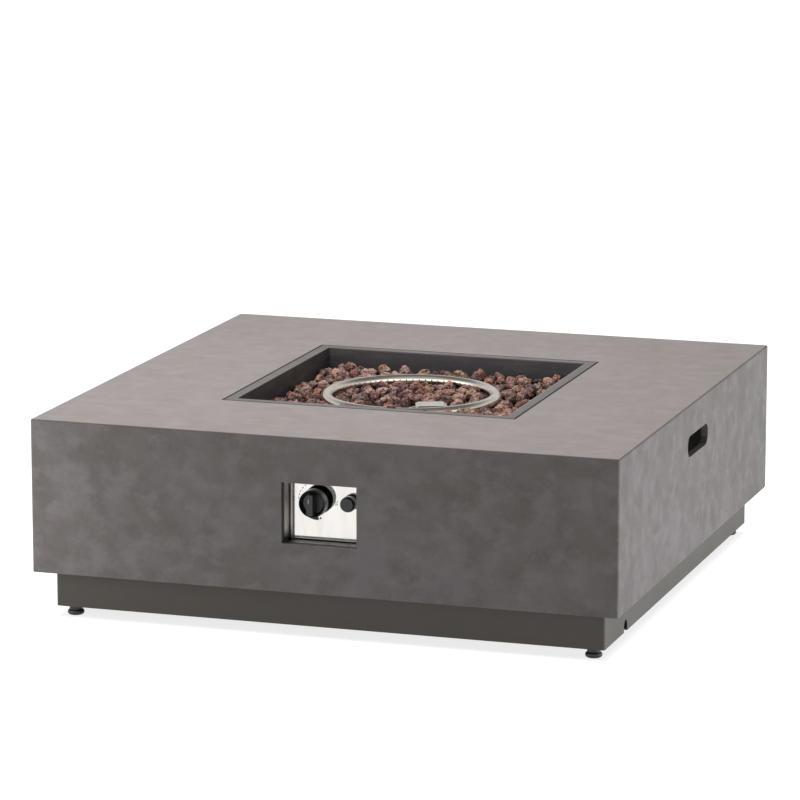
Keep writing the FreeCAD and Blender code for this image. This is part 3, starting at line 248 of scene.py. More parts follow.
# %% [markdown]
# ## Polished control plate
#
# The plate behind the knob is thin polished sheet, so it mirrors the white studio. Real sheet is
# never quite flat: it is a little hollow between its bent edges, and that decides what it mirrors.
# Bending the mesh would move it away from its screws, so the hollow is a bump whose height grows
# with the square of the distance from the plate's middle. Faint upright wipes make the rest.

# %% Polished steel
PLATE_MIDDLE = 0.214


def polished():
    material, tree, shader, place = start("polished_steel")
    wipes = noise_of(tree, stretched(tree, place, (30.0, 30.0, 6.0)), 1.5, 5.0, 0.6)
    shade = mix(tree, between(tree, wipes, 0.35, 0.7), rgb(0.74, 0.72, 0.695), rgb(0.66, 0.642, 0.617))
    rough = between(tree, wipes, 0.35, 0.75, 0.05, 0.12)
    across = maths(tree, "POWER", along(tree, place, "X"), 2.0)
    above_middle = maths(tree, "SUBTRACT", along(tree, place, "Z"), PLATE_MIDDLE)
    up = maths(tree, "POWER", above_middle, 2.0)
    normal = bump(tree, maths(tree, "ADD", across, up), 0.5)
    normal = bump(tree, noise_of(tree, place, 30.0, 2.0), 0.0003, 0.08, normal)
    connect(tree, shader, {"Base Color": shade, "Metallic": 1.0, "Roughness": rough, "Normal": normal})
    return material


LOOKS["mirror_steel"] = polished()
print("polished steel, hollow round the height", PLATE_MIDDLE)

# %% [markdown]
# ## Control box
#
# The box behind the front opening is dull zinc-coated sheet. Its floor is darkened with painted shade, as
# the inside of a recess is, and is nearly black at the back. The painted shade could be a second material on
# some faces, but that would leave a sharp border. Here two masks place it: one by height, and one by depth
# for how dark it is.

# %% Control box sheet
SHADE_HEIGHTS = (0.168, 0.184)
SHADE_DEPTHS = (-0.493, -0.482)


def box_sheet():
    material, tree, shader, place = start("control_box_sheet")
    cloud = noise_of(tree, stretched(tree, place, (1.0, 1.0, 0.4)), 60.0, 4.0, 0.6)
    shade = mix(tree, between(tree, cloud, 0.35, 0.7), rgb(0.3, 0.283, 0.272), rgb(0.19, 0.178, 0.17))
    # Painted shade: the sheet darkens towards the floor of the recess, and is nearly black at its back.
    low = between(tree, along(tree, place, "Z"), *SHADE_HEIGHTS, 1.0, 0.0)
    deep = between(tree, along(tree, place, "Y"), *SHADE_DEPTHS)
    painted_shade = mix(tree, deep, rgb(0.06, 0.053, 0.048), rgb(0.006, 0.006, 0.006))
    connect(tree, shader, {
        "Base Color": mix(tree, low, shade, painted_shade), "Metallic": 1.0,
        "Roughness": between(tree, cloud, 0.3, 0.7, 0.36, 0.5), "Normal": bump(tree, cloud, 0.0003, 0.3),
    })
    return material


own_looks = {"control_box": box_sheet()}
print("nodes with a look of their own:", ", ".join(own_looks))

# %% [markdown]
# ## Painted sheet
#
# The plinth and the inner frame are powder coated. Baked powder flows into a fine orange peel, which
# shows only as a slightly broken sheen, so a bump is enough. A very wide, weak bump stands for the
# sheet itself, which is never quite flat, and a few pale specks are dust.

# %% Powder coat
def powder_coat(name, colour_low, colour_high, roughness):
    material, tree, shader, place = start(name)
    cloud = noise_of(tree, place, 9.0, 5.0, 0.6)
    colour = mix(tree, between(tree, cloud, 0.3, 0.7), colour_low, colour_high)
    dust = noise_of(tree, place, 700.0, 2.0)
    colour = wash(tree, colour, dust, 0.6, 0.75, 0.15, rgb(0.24, 0.225, 0.21))
    normal = bump(tree, noise_of(tree, place, 900.0, 2.0), 0.00012, 0.6)
    normal = bump(tree, noise_of(tree, place, 6.0, 2.0), 0.0015, 0.12, normal)
    rough = between(tree, cloud, 0.3, 0.7, roughness - 0.05, roughness + 0.07)
    connect(tree, shader, {"Base Color": colour, "Roughness": rough, "Normal": normal})
    return material


LOOKS["plinth_paint"] = powder_coat(
    "plinth_paint", rgb(0.068, 0.059, 0.049), rgb(0.086, 0.075, 0.062), 0.5)
LOOKS["frame_paint"] = powder_coat(
    "frame_paint", rgb(0.03, 0.03, 0.03), rgb(0.045, 0.044, 0.043), 0.45)
print("powder coat for the plinth and the frame")

# %% [markdown]
# ## Where the shell's tone changes
#
# The shell is glass-fibre concrete. Its skin has soft clouds the size of a hand, in two tones: olive
# brown and plum grey. The flange of the pan is painted to match, so both use `clouded`.
#
# Two places differ from the rest, both by painted shade. A thin dark line of painted shadow runs round the
# pan, where a gap parts it from the shell, and the inner faces of the control opening are darkened with
# painted shade, as the inside of a recess is. Each gets a mask that is measured from the middle of the
# table, since the shell is square and centred. Extra meshes laid over the shell would also do, but they
# would flicker where they touch it.

# %% Clouds and masks of the shell
OLIVE = rgb(0.224, 0.205, 0.188)
PLUM = rgb(0.28, 0.255, 0.264)
OPENING_FRONT = (-0.5075, -0.5055)
OPENING_BACK = (-0.49, -0.48)
OPENING_SIDE = (0.0655, 0.066)
OPENING_TOP = (0.268, 0.27)


def clouded(tree, place):
    """Two tones in soft clouds, the paler one also in smaller patches."""
    wide = noise_of(tree, place, 5.0, 3.0, 0.5, 0.4)
    patches = noise_of(tree, place, 15.0, 3.0, 0.55, 0.8)
    tone = maths(tree, "ADD", times(tree, wide, 0.45), times(tree, patches, 0.55))
    return mix(tree, between(tree, tone, 0.4, 0.6), OLIVE, PLUM)


def square_distance(tree, place):
    """The distance from the upright axis, measured square: the larger of width and depth."""
    sides = [maths(tree, "ABSOLUTE", along(tree, place, axis), 0.0) for axis in "XY"]
    return maths(tree, "MAXIMUM", *sides)


def in_opening(tree, place):
    """1 on the inner faces of the control opening."""
    depth = along(tree, place, "Y")
    width = maths(tree, "ABSOLUTE", along(tree, place, "X"), 0.0)
    behind_front = times(tree, between(tree, depth, *OPENING_FRONT),
                         between(tree, width, *OPENING_SIDE, 1.0, 0.0))
    before_back = times(tree, between(tree, along(tree, place, "Z"), *OPENING_TOP, 1.0, 0.0),
                        between(tree, depth, *OPENING_BACK, 1.0, 0.0))
    return times(tree, behind_front, before_back)


print("clouds between", OLIVE[:3], "and", PLUM[:3])

# %% [markdown]
# ## Cast concrete
#
# Over the clouds go the finer marks of casting: a dim and a pale blotch, a mottle like fine sand, cool
# specks, and pinholes where air was trapped. The pinholes are the cells of a Voronoi pattern, kept only
# where a second noise is high, because real ones come in swarms. Faces that look up are washed paler and
# more even as painted sheen, and the top's edge is worn to a thin brown line, which a mask finds by the
# slope of the surface. Modelling pinholes this small would add faces that no camera sees.

# %% Cast concrete
PAN_GAP = (0.2612, 0.2603)


def pinholes(tree, place):
    """1 in small round holes that come in swarms."""
    cells = add(tree, "ShaderNodeTexVoronoi", {"Vector": place, "Scale": 170.0})
    hole = between(tree, cells.outputs["Distance"], 0.07, 0.14, 1.0, 0.0)
    swarm = between(tree, noise_of(tree, place, 19.0, 3.0), 0.58, 0.64)
    return times(tree, hole, swarm)


def blotched(tree, place, colour, mottle):
    """The colour with a dim and a pale blotch, a sandy mottle and cool specks over it."""
    dim = noise_of(tree, stretched(tree, place, (1.0, 1.1, 0.9)), 21.0, 4.0, 0.6)
    colour = wash(tree, colour, dim, 0.46, 0.66, 0.75, rgb(0.175, 0.16, 0.147))
    glow = noise_of(tree, stretched(tree, place, (0.9, 1.0, 1.2)), 27.0, 3.0, 0.6)
    colour = wash(tree, colour, glow, 0.48, 0.66, 0.7, rgb(0.335, 0.307, 0.313))
    colour = wash(tree, colour, mottle, 0.35, 0.65, 0.3, rgb(0.33, 0.3, 0.29))
    cool = noise_of(tree, place, 480.0, 2.0, 0.8)
    return wash(tree, colour, cool, 0.58, 0.72, 0.4, rgb(0.15, 0.148, 0.165))


def concrete():
    material, tree, shader, place = start("cast_concrete")
    mottle = noise_of(tree, place, 190.0, 4.0, 0.75)
    colour = blotched(tree, place, clouded(tree, place), mottle)
    hole = pinholes(tree, place)
    colour = mix(tree, times(tree, hole, 0.6), colour, rgb(0.08, 0.07, 0.066))
    upward = along(tree, add(tree, "ShaderNodeTexCoord").outputs["Normal"], "Z")
    # Painted sheen: faces that look up are washed paler and more even.
    colour = wash(tree, colour, upward, 0.5, 1.0, 0.55, rgb(0.335, 0.305, 0.296))
    # Painted shadow: a thin dark line round the pan, where the gap between flange and shell is.
    gap_shadow = times(tree, between(tree, square_distance(tree, place), *PAN_GAP), 0.85)
    colour = mix(tree, gap_shadow, colour, rgb(0.03, 0.026, 0.025))
    worn = times(tree, between(tree, upward, 0.1, 0.3), between(tree, upward, 0.9, 0.985, 1.0, 0.0))
    colour = mix(tree, times(tree, worn, 0.75), colour, rgb(0.12, 0.096, 0.086))
    # Painted shade: the inner faces of the control opening are darkened, as the inside of a recess is.
    recess_shade = mix(tree, 0.8, colour, rgb(0.02, 0.018, 0.017))
    colour = mix(tree, in_opening(tree, place), colour, recess_shade)
    normal = bump(tree, noise_of(tree, place, 14.0, 3.0), 0.0012, 0.2)
    normal = bump(tree, noise_of(tree, place, 420.0, 4.0, 0.7), 0.0002, 0.5, normal)
    normal = bump(tree, times(tree, hole, -1.0), 0.0006, 0.8, normal)
    connect(tree, shader, {
        "Base Color": colour, "Roughness": between(tree, mottle, 0.3, 0.7, 0.56, 0.7),
        "Normal": normal, "Specular IOR Level": 0.26,
    })
    return material


LOOKS["concrete"] = concrete()
print("cast concrete with", len(LOOKS["concrete"].node_tree.nodes), "nodes")

# %% [markdown]
# ## Paint of the pan
#
# The pan is one piece with two looks. Its flange lies flush in the top and is painted like the shell, with
# painted shadow at its outer edge and a painted highlight along its inner bend, while below it the
# heat-proof paint is dark and smeared, darker towards the rocks, and darker still on the left wall as
# painted shade. The mesh could be cut in two, but then the CAD piece would no longer be one node. A mask by
# height parts the looks instead, exactly where the flange begins.

# %% Pan paint
FLANGE_UNDERSIDE = (0.34085, 0.34095)
WALL_HEIGHTS = (0.300, 0.345)
LEFT_WALL = (-0.2405, -0.236)
FLANGE_OUTER_EDGE = (0.2555, 0.2568)
FLANGE_INNER_EDGE = (0.2428, 0.2415)


def pan_walls(tree, place):
    """The pan's walls: darker towards the rocks, darker still on the left wall as painted shade, with smears
    and scratches.
    """
    wall_colour = mix(tree, between(tree, along(tree, place, "Z"), *WALL_HEIGHTS),
               rgb(0.052, 0.05, 0.055), rgb(0.098, 0.094, 0.101))
    # Painted shade on the left wall of the pan.
    left_wall_shade = between(tree, along(tree, place, "X"), *LEFT_WALL, 0.45, 0.0)
    wall_colour = mix(tree, left_wall_shade, wall_colour, rgb(0.012, 0.012, 0.013))
    smears = noise_of(tree, stretched(tree, place, (5.0, 5.0, 30.0)), 3.0, 6.0, 0.65)
    wall_colour = wash(tree, wall_colour, smears, 0.45, 0.75, 0.4, rgb(0.2, 0.19, 0.19))
    scratches = noise_of(tree, stretched(tree, place, (90.0, 90.0, 900.0)), 1.0, 3.0)
    return wash(tree, wall_colour, scratches, 0.62, 0.7, 0.22, rgb(0.36, 0.34, 0.34))


def flange(tree, place):
    """The pan's flange: clouded like the shell but darker, with painted shadow of the gap at its outer edge
    and a painted highlight along its inner bend.
    """
    rim = clouded(tree, place)
    speck = noise_of(tree, place, 420.0, 3.0, 0.8)
    rim = wash(tree, rim, speck, 0.58, 0.74, 0.35, rgb(0.15, 0.138, 0.138))
    rim = mix(tree, 0.42, rim, rgb(0.03, 0.028, 0.028))
    from_middle = square_distance(tree, place)
    # Painted shadow of the gap along the flange's outer edge.
    rim = wash(tree, rim, from_middle, *FLANGE_OUTER_EDGE, 0.9, rgb(0.02, 0.018, 0.018))
    # Painted highlight: a pale line along the flange's bent inner edge.
    return wash(tree, rim, from_middle, *FLANGE_INNER_EDGE, 0.4, rgb(0.32, 0.3, 0.29))


def pan_paint():
    material, tree, shader, place = start("pan_paint")
    on_flange = between(tree, along(tree, place, "Z"), *FLANGE_UNDERSIDE)
    cloud = noise_of(tree, place, 16.0, 5.0, 0.65)
    connect(tree, shader, {
        "Base Color": mix(tree, on_flange, pan_walls(tree, place), flange(tree, place)),
        "Roughness": between(tree, cloud, 0.3, 0.7, 0.44, 0.6),
        "Normal": bump(tree, noise_of(tree, place, 650.0, 3.0), 0.00012, 0.6),
        "Specular IOR Level": 0.4,
    })
    return material


LOOKS["pan_steel"] = pan_paint()
print("pan paint, which changes at the height", FLANGE_UNDERSIDE[0])

# %% [markdown]
# ## Lava rock
#
# Lava rock is sold by the bag: each rock has its own tone, from pink-brown to plum grey, and some
# have a rusty or tan side. Hundreds of materials would be clumsy. All rocks share one mesh and one
# material, and `Random Per Island` gives each loose rock one number, which picks a tone from a ramp.
#
# Pores in two sizes roughen the surface, and their colour carries painted shade in the pores and pale specks
# of painted highlight. The Ambient Occlusion node paints shade into the colour where the rock is closed in,
# so that the pores and the gaps between rocks read as deep.

# %% Lava rock
ROCK_TONES = [
    (0.0, (0.06, 0.034, 0.036)),
    (0.14, (0.42, 0.21, 0.17)),
    (0.28, (0.6, 0.39, 0.345)),
    (0.4, (0.13, 0.085, 0.09)),
    (0.54, (0.68, 0.455, 0.405)),
    (0.66, (0.46, 0.19, 0.13)),
    (0.78, (0.12, 0.08, 0.085)),
    (0.9, (0.58, 0.38, 0.27)),
    (1.0, (0.52, 0.3, 0.255)),
]


def rock_tone(tree):
    """One tone for each loose rock."""
    own = add(tree, "ShaderNodeNewGeometry").outputs["Random Per Island"]
    tones = add(tree, "ShaderNodeValToRGB", {"Fac": own})
    ramp = tones.color_ramp
    while len(ramp.elements) < len(ROCK_TONES):
        ramp.elements.new(0.5)
    for element, (spot, tone) in zip(ramp.elements, ROCK_TONES):
        element.position = spot
        element.color = rgb(*tone)
    return tones.outputs["Color"]


def lava():
    material, tree, shader, place = start("lava_rock")
    pale = noise_of(tree, place, 95.0, 4.0, 0.6)
    colour = wash(tree, rock_tone(tree), pale, 0.5, 0.62, 0.6, rgb(0.6, 0.42, 0.38))
    rust = noise_of(tree, stretched(tree, place, (1.3, 0.8, 1.0)), 38.0, 4.0, 0.6)
    colour = wash(tree, colour, rust, 0.58, 0.68, 0.75, rgb(0.4, 0.19, 0.085))
    grey = noise_of(tree, stretched(tree, place, (0.9, 1.2, 1.1)), 80.0, 4.0, 0.6)
    colour = wash(tree, colour, grey, 0.55, 0.66, 0.75, rgb(0.06, 0.045, 0.05))
    cells = add(tree, "ShaderNodeTexVoronoi", {"Vector": place, "Scale": 260.0})
    pore = between(tree, cells.outputs["Distance"], 0.2, 0.46, 1.0, 0.0)
    # Painted shade in the larger pores.
    colour = mix(tree, times(tree, pore, 0.65), colour, rgb(0.03, 0.018, 0.018))
    small = noise_of(tree, place, 620.0, 4.0, 0.75)
    # Painted highlights as pale specks, and painted shade in the smaller pores.
    colour = wash(tree, colour, small, 0.55, 0.7, 0.4, rgb(0.66, 0.5, 0.46))
    colour = mix(tree, between(tree, small, 0.36, 0.46, 0.45, 0.0), colour, rgb(0.03, 0.02, 0.02))
    openness = add(tree, "ShaderNodeAmbientOcclusion", {"Distance": 0.012}, samples=6).outputs["AO"]
    # Painted shade where the rock is closed in.
    closed_in = between(tree, openness, 0.35, 0.97, 0.95, 0.0)
    colour = mix(tree, closed_in, colour, rgb(0.008, 0.006, 0.007))
    normal = bump(tree, times(tree, pore, -1.0), 0.0018, 1.0)
    normal = bump(tree, small, 0.001, 1.0, normal)
    connect(tree, shader, {
        "Base Color": colour, "Roughness": 0.88, "Normal": normal, "Specular IOR Level": 0.3,
    })
    return material


LOOKS["lava"] = lava()
print("lava rock in", len(ROCK_TONES), "tones")

# %% [markdown]
# ## Materials onto the CAD pieces
#
# The CAD record names a material slot for every node, so the looks follow the record: a new screw
# that is zinc plated gets its material without another line here. Only the control box has a look of
# its own.

# %% Give every node its material
slots = {entry["node"]: entry["material_slot"] for entry in frame["record"]["subparts"]}
for node_name, thing in nodes.items():
    thing.data.materials.clear()
    thing.data.materials.append(own_looks.get(node_name, LOOKS[slots[node_name]]))
print(len(nodes), "CAD nodes have one of", len(LOOKS) + len(own_looks), "materials")

# %% [markdown]
# ## Springs
#
# The knob and the igniter button each push against a small coil spring. A CAD node is rigid, and a rigid
# spring would stick out through the moving part when that is pushed in. Animating each coil would be exact
# but fragile. Here each spring's mesh is copied into a piece of its own that rides on the table, in place of
# its CAD node, and keeps its length.


def piece(name, mesh, body, material):
    """A named object that rides on a CAD body and has the given material."""
    thing = bpy.data.objects.new(name, mesh)
    bpy.context.scene.collection.objects.link(thing)
    mesh.materials.append(material)
    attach(thing, body)
    return thing


def spring(node, body):
    mesh = nodes[node].data.copy()
    mesh.transform(nodes[node].matrix_world)
    mesh.materials.clear()
    coil = piece(node + "_coil", mesh, body, LOOKS[slots[node]])
    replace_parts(coil, node)
    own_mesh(coil)


spring("valve_spring", "table")
spring("igniter_spring", "table")

# %% [markdown]
# ## Rough rock shapes
#
# A lava rock is lumpy, broken and full of pits. A sculpted rock would look best but takes hours, and
# a noise alone gives a potato. Here each shape starts as a fine ball and goes through what happens
# to a real rock: noise swells it, a few flat cuts make it angular, and round pits make it porous.
# A dozen shapes are enough, because each copy is stretched and turned its own way.
#
# All randomness comes from one seeded generator, so that every run gives the same heap.

# %% Rock shapes
ROCK_SHAPES = 12
BALL_STEPS = 4
CUTS = 9
PITS = 60
SWELLS = ((0.34, 1.3), (0.2, 2.7), (0.09, 6.0), (0.04, 15))
draw = np.random.RandomState(11)


def ball(steps):
    """The points and triangles of a fine ball with a radius of 1."""
    bm = bmesh.new()
    bmesh.ops.create_icosphere(bm, subdivisions=steps, radius=1.0)
    points = np.array([v.co[:] for v in bm.verts])
    faces = np.array([[v.index for v in f.verts] for f in bm.faces])
    bm.free()
    return points, faces


def random_direction():
    way = draw.normal(size=3)
    way /= np.linalg.norm(way)
    return way


def swollen(direction, offset):
    """The radius in this direction: lumps from large to small."""
    return 1.0 + sum(amount * noise.noise(direction * rate + offset) for amount, rate in SWELLS)


def rock_shape(directions, seed):
    offset = Vector((seed * 7.3, seed * 3.1, seed * 5.7))
    swell = np.array([swollen(Vector(way), offset) for way in directions])
    points = directions * swell[:, None]
    for _ in range(CUTS):
        facing = random_direction()
        over = points @ facing - draw.uniform(0.66, 0.9)
        points -= np.where(over > 0, over * 0.6, 0.0)[:, None] * facing
    for _ in range(PITS):
        spot = random_direction()
        size = draw.uniform(0.07, 0.2)
        apart = np.linalg.norm(directions - spot, axis=1) / size
        depth = draw.uniform(0.4, 1.0) * size
        points *= (1.0 - depth * np.clip(1.0 - apart ** 2, 0.0, 1.0))[:, None]
    return points / np.abs(points).max()


ball_points, ball_faces = ball(BALL_STEPS)
rock_shapes = [rock_shape(ball_points, seed) for seed in range(ROCK_SHAPES)]
print(len(rock_shapes), "rock shapes of", len(ball_faces), "faces")

# %% [markdown]
# ## What the rocks have to clear
#
# Loose rocks lie against the burner tube and round the small shield that guards the igniter's tip.
# A physics simulation could settle them there, but it takes long, and its result changes with its
# version. Two simple tests do instead: each says how near a ball is to the tube or the shield. A
# rough rock differs a little from its ball, so a tip may still touch the tube, as in the real pan.
#
# The places come from the CAD boxes, rounded to a tenth of a millimetre, because a mesh of a round
# tube is a little smaller than the tube.

# %% Places of pan, ring and shield
X, Y, Z = range(3)
FLANGE_WIDTH = 0.018
RING_TUBE = 0.01065
SHIELD = Vector((0.058, -0.086, 0.0))
SHIELD_TURN = math.radians(20)
ACROSS_SHIELD = (-0.043, 0.028)
ALONG_SHIELD = (-0.0195, 0.0345)


def middle(node, axis):
    low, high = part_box(node)
    return round((low[axis] + high[axis]) / 2, 4)


PAN_HALF = round(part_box("burner_pan")[1][X] - FLANGE_WIDTH, 4)
PAN_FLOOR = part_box("electrode_shield")[0][Z]
BED_TOP = round(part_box("lava_bed")[1][Z], 4)
ring_low, ring_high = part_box("burner_ring")
RING_CENTRE = Vector((middle("burner_ring", X), 0.0, round(ring_low[Z] + RING_TUBE, 4)))
RING_RADIUS = round((ring_high[X] - ring_low[X]) / 2 - RING_TUBE, 4)


def ring_gap(x, y, z):
    """Distance from a point to the skin of the burner ring."""
    flat = math.hypot(x - RING_CENTRE.x, y) - RING_RADIUS
    return math.hypot(flat, z - RING_CENTRE.z) - RING_TUBE


def from_shield(x, y):
    """A place measured across and along the turned electrode shield."""
    dx, dy = x - SHIELD.x, y - SHIELD.y
    across = dx * math.cos(SHIELD_TURN) + dy * math.sin(SHIELD_TURN)
    lengthwise = -dx * math.sin(SHIELD_TURN) + dy * math.cos(SHIELD_TURN)
    return across, lengthwise


def by_shield(x, y, reach):
    """Whether a ball here would touch the electrode shield or what stands beside it."""
    across, lengthwise = from_shield(x, y)
    return (ACROSS_SHIELD[0] - reach < across < ACROSS_SHIELD[1] + reach
            and ALONG_SHIELD[0] - reach < lengthwise < ALONG_SHIELD[1] + reach)


print("pan", PAN_HALF * 2, "wide; ring of radius", RING_RADIUS, "round", tuple(RING_CENTRE))

# %% [markdown]
# ## Rocks dropped into the pan
#
# In the real table the rocks are poured in and shaken level. Here they are dropped one by one, as
# balls: each ball tries some random places, rests in each on the bed or on earlier balls, and takes
# the lowest place that stays clear of pan, burner and shield. Large rocks go first and small ones
# fill the gaps. This simple rule gives a heap that looks poured, and no two rocks share much room.
#
# The row in front of the ring is listed one by one, because it stands out most in the photograph.

# %% Drop the rocks
TRIES = 60
ROCK_REACH = 0.9
SINK_INTO_BED = 0.82
NESTLE = 0.84
SHIELD_REACH = 0.85
UNDER_RING = 0.4
BELOW_RING_MIDDLE = 0.004
LEFT_CORNER = -0.2
FRONT_PART = -0.1
front_row = [
    (0.012, -0.174, 0.323, 0.0135),
    (0.066, -0.176, 0.3208, 0.0128),
    (0.112, -0.177, 0.3208, 0.0132),
    (0.141, -0.178, 0.3235, 0.0152),
    (0.169, -0.172, 0.322, 0.014),
]


def resting_height(x, y, radius, placed):
    """The height of a ball's middle when it is dropped here on the bed and on the placed balls."""
    flat = np.hypot(placed[:, 0] - x, placed[:, 1] - y)
    reach = (placed[:, 3] + radius) * NESTLE
    near = flat < reach
    height = BED_TOP + radius * SINK_INTO_BED
    if near.any():
        height = max(height, float((placed[near, 2] + np.sqrt(reach[near] ** 2 - flat[near] ** 2)).max()))
    return height


def rock_level(x, y):
    """How high the heap reaches here: lower along the back wall and in the left corner."""
    if x < LEFT_CORNER:
        return 0.3125
    return 0.3265 if y < FRONT_PART else 0.3225


def fits(x, y, z, radius, higher):
    """Whether a ball may lie here: below the heap's level, and clear of shield and ring."""
    if z + radius * ROCK_REACH > rock_level(x, y) + higher or by_shield(x, y, radius * SHIELD_REACH):
        return False
    from_ring = abs(math.hypot(x - RING_CENTRE.x, y) - RING_RADIUS)
    if from_ring < RING_TUBE + radius * UNDER_RING and z > RING_CENTRE.z - BELOW_RING_MIDDLE:
        return False
    return ring_gap(x, y, z) >= radius * ROCK_REACH


def drop_rocks(placed, count, low_size, high_size, higher):
    """The placed balls and up to count more; higher lets them rise that far over the heap's level."""
    for _ in range(count):
        radius = draw.uniform(low_size, high_size)
        reach = PAN_HALF - radius * ROCK_REACH
        best = None
        for x, y in draw.uniform(-reach, reach, size=(TRIES, 2)):
            z = resting_height(x, y, radius, placed)
            if fits(x, y, z, radius, higher) and (best is None or z < best[2]):
                best = (x, y, z, radius)
        if best is not None:
            placed = np.vstack([placed, best])
    return placed


front_rocks = []
for x, y, z, radius in front_row:
    carrier = (x + 0.003, y - 0.004, z - radius - 0.002, radius)
    front_rocks += [(x, y, z, radius), carrier]
rocks = drop_rocks(np.array(front_rocks), count=230, low_size=0.0135, high_size=0.0205, higher=0.0)
rocks = drop_rocks(rocks, count=260, low_size=0.0085, high_size=0.0145, higher=0.0025)
print(len(rocks), "rocks lie in the pan, the highest middle at", round(rocks[:, 2].max(), 4))

# %% [markdown]
# ## Balls become rocks
#
# Each ball is replaced by one of the rock shapes, stretched along its axes and turned at random. The
# rocks stay separate shells inside one mesh, so that each can have its own tone. The two groups,
# inside and outside the ring, take the place of the two CAD nodes that have the plain lava solids.

# %% Build the loose rocks
def mesh_of(name, points, faces):
    """A smooth mesh from an array of points and an array of faces with equally many corners."""
    mesh = bpy.data.meshes.new(name)
    corners = faces.shape[1]
    mesh.vertices.add(len(points))
    mesh.vertices.foreach_set("co", np.asarray(points, dtype=np.float32).ravel())
    mesh.loops.add(faces.size)
    mesh.loops.foreach_set("vertex_index", faces.astype(np.int32).ravel())
    mesh.polygons.add(len(faces))
    mesh.polygons.foreach_set("loop_start", np.arange(len(faces), dtype=np.int32) * corners)
    mesh.update(calc_edges=True)
    mesh.polygons.foreach_set("use_smooth", np.full(len(faces), True))
    mesh.validate()
    return mesh


def turned_at_random():
    """A random rotation matrix, from a random unit quaternion."""
    w, x, y, z = draw.normal(size=4)
    size = math.sqrt(w * w + x * x + y * y + z * z)
    w, x, y, z = w / size, x / size, y / size, z / size
    return np.array([
        [1 - 2 * (y * y + z * z), 2 * (x * y - w * z), 2 * (x * z + w * y)],
        [2 * (x * y + w * z), 1 - 2 * (x * x + z * z), 2 * (y * z - w * x)],
        [2 * (x * z - w * y), 2 * (y * z + w * x), 1 - 2 * (x * x + y * y)],
    ])


def rock_group(name, chosen, replaced):
    points, faces = [], []
    for x, y, z, radius in chosen:
        shape = rock_shapes[draw.randint(len(rock_shapes))]
        size = radius * draw.uniform(0.95, 1.22, size=3)
        size[draw.randint(3)] *= 0.82
        faces.append(ball_faces + len(points) * len(shape))
        points.append((shape * size) @ turned_at_random().T + np.array([x, y, z]))
    mesh = mesh_of(name, np.vstack(points), np.vstack(faces))
    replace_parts(piece(name, mesh, "table", LOOKS["lava"]), replaced)
    print(name, "has", len(chosen), "rocks")


inside = np.hypot(rocks[:, 0] - RING_CENTRE.x, rocks[:, 1]) < RING_RADIUS
rock_group("loose_rocks_inside_ring", rocks[inside], "lava_rocks_inner")
rock_group("loose_rocks_outside_ring", rocks[~inside], "lava_rocks_outer")

# %% [markdown]
# ## The rocks below
#
# Under the loose rocks lie several more layers, of which only a few tops show, through gaps. Filling
# the pan with real rocks would cost a million faces that nobody sees. One sheet carries them
# instead: a height field of rounded humps as wide as rocks, roughened by a noise. Where the
# crossbar, its hub and the shield stand, the sheet is let down, so that it doesn't cut them.

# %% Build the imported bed
BAR_LEVEL = 0.285
BED_POINTS = 300
HUMPS = 420
HOLLOW = -0.011
HUMP_CEILING = 0.004
BESIDE_TUBE = 0.011


def humps(xs, ys, half):
    """The height of rounded rock tops over a square grid, from the hollow between them up."""
    level = np.full(xs.shape, -1.0)
    for hx, hy in draw.uniform(-half, half, size=(HUMPS, 2)):
        radius = draw.uniform(0.012, 0.019)
        near = np.clip(1.0 - ((xs - hx) ** 2 + (ys - hy) ** 2) / radius ** 2, 0.0, 1.0)
        level = np.maximum(level, np.where(near > 0, np.sqrt(near) * radius * 0.8 + HOLLOW, HOLLOW))
    return np.minimum(level, HUMP_CEILING)


def let_down(level, xs, ys):
    """The sheet lowered under the crossbar, and to the pan's floor at its hub and the shield."""
    across, lengthwise = from_shield(xs, ys)
    shield = (across > -0.05) & (across < 0.032) & (lengthwise > -0.023) & (lengthwise < 0.037)
    bar = (np.abs(ys) < 0.0107) & (np.abs(xs - RING_CENTRE.x) < RING_RADIUS + 0.013)
    hub = np.hypot(xs - RING_CENTRE.x, ys) < 0.022
    level = np.where(bar, BAR_LEVEL - BESIDE_TUBE, level)
    return np.where(shield | hub, PAN_FLOOR + 0.001, level)


def packed_bed():
    half = PAN_HALF - 0.002
    line = np.linspace(-half, half, BED_POINTS)
    xs, ys = np.meshgrid(line, line)
    level = humps(xs, ys, half)
    rough = [noise.noise(Vector((x * 190, y * 190, 0.4))) for x, y in zip(xs.ravel(), ys.ravel())]
    level = BED_TOP + level + 0.0022 * np.array(rough).reshape(xs.shape)
    level = let_down(level, xs, ys)
    points = np.stack([xs.ravel(), ys.ravel(), level.ravel()], axis=1)
    index = np.arange(BED_POINTS ** 2).reshape(BED_POINTS, BED_POINTS)
    corners = [index[:-1, :-1], index[:-1, 1:], index[1:, 1:], index[1:, :-1]]
    faces = np.stack(corners, axis=-1).reshape(-1, 4)
    bed = piece("packed_rock_bed", mesh_of("packed_rock_bed", points, faces), "table", LOOKS["lava"])
    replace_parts(bed, "lava_bed")
    print(bed.name, "has", len(faces), "faces")


packed_bed()

# %% [markdown]
# ## Printed marks
#
# The knob's grip has one white line, and the plate has the scale that it points at. Prints like
# these could be an image, but an image blurs up close and needs a UV map. They are built as very thin
# raised shapes instead, each from an outline of a few points, which stay sharp from any distance.
#
# Every shape is made of two tools: an arc of a ring, and an upright bar.

# %% Tools for printed shapes
INK_THICKNESS = 0.00006
PAINT_THICKNESS = 0.0002


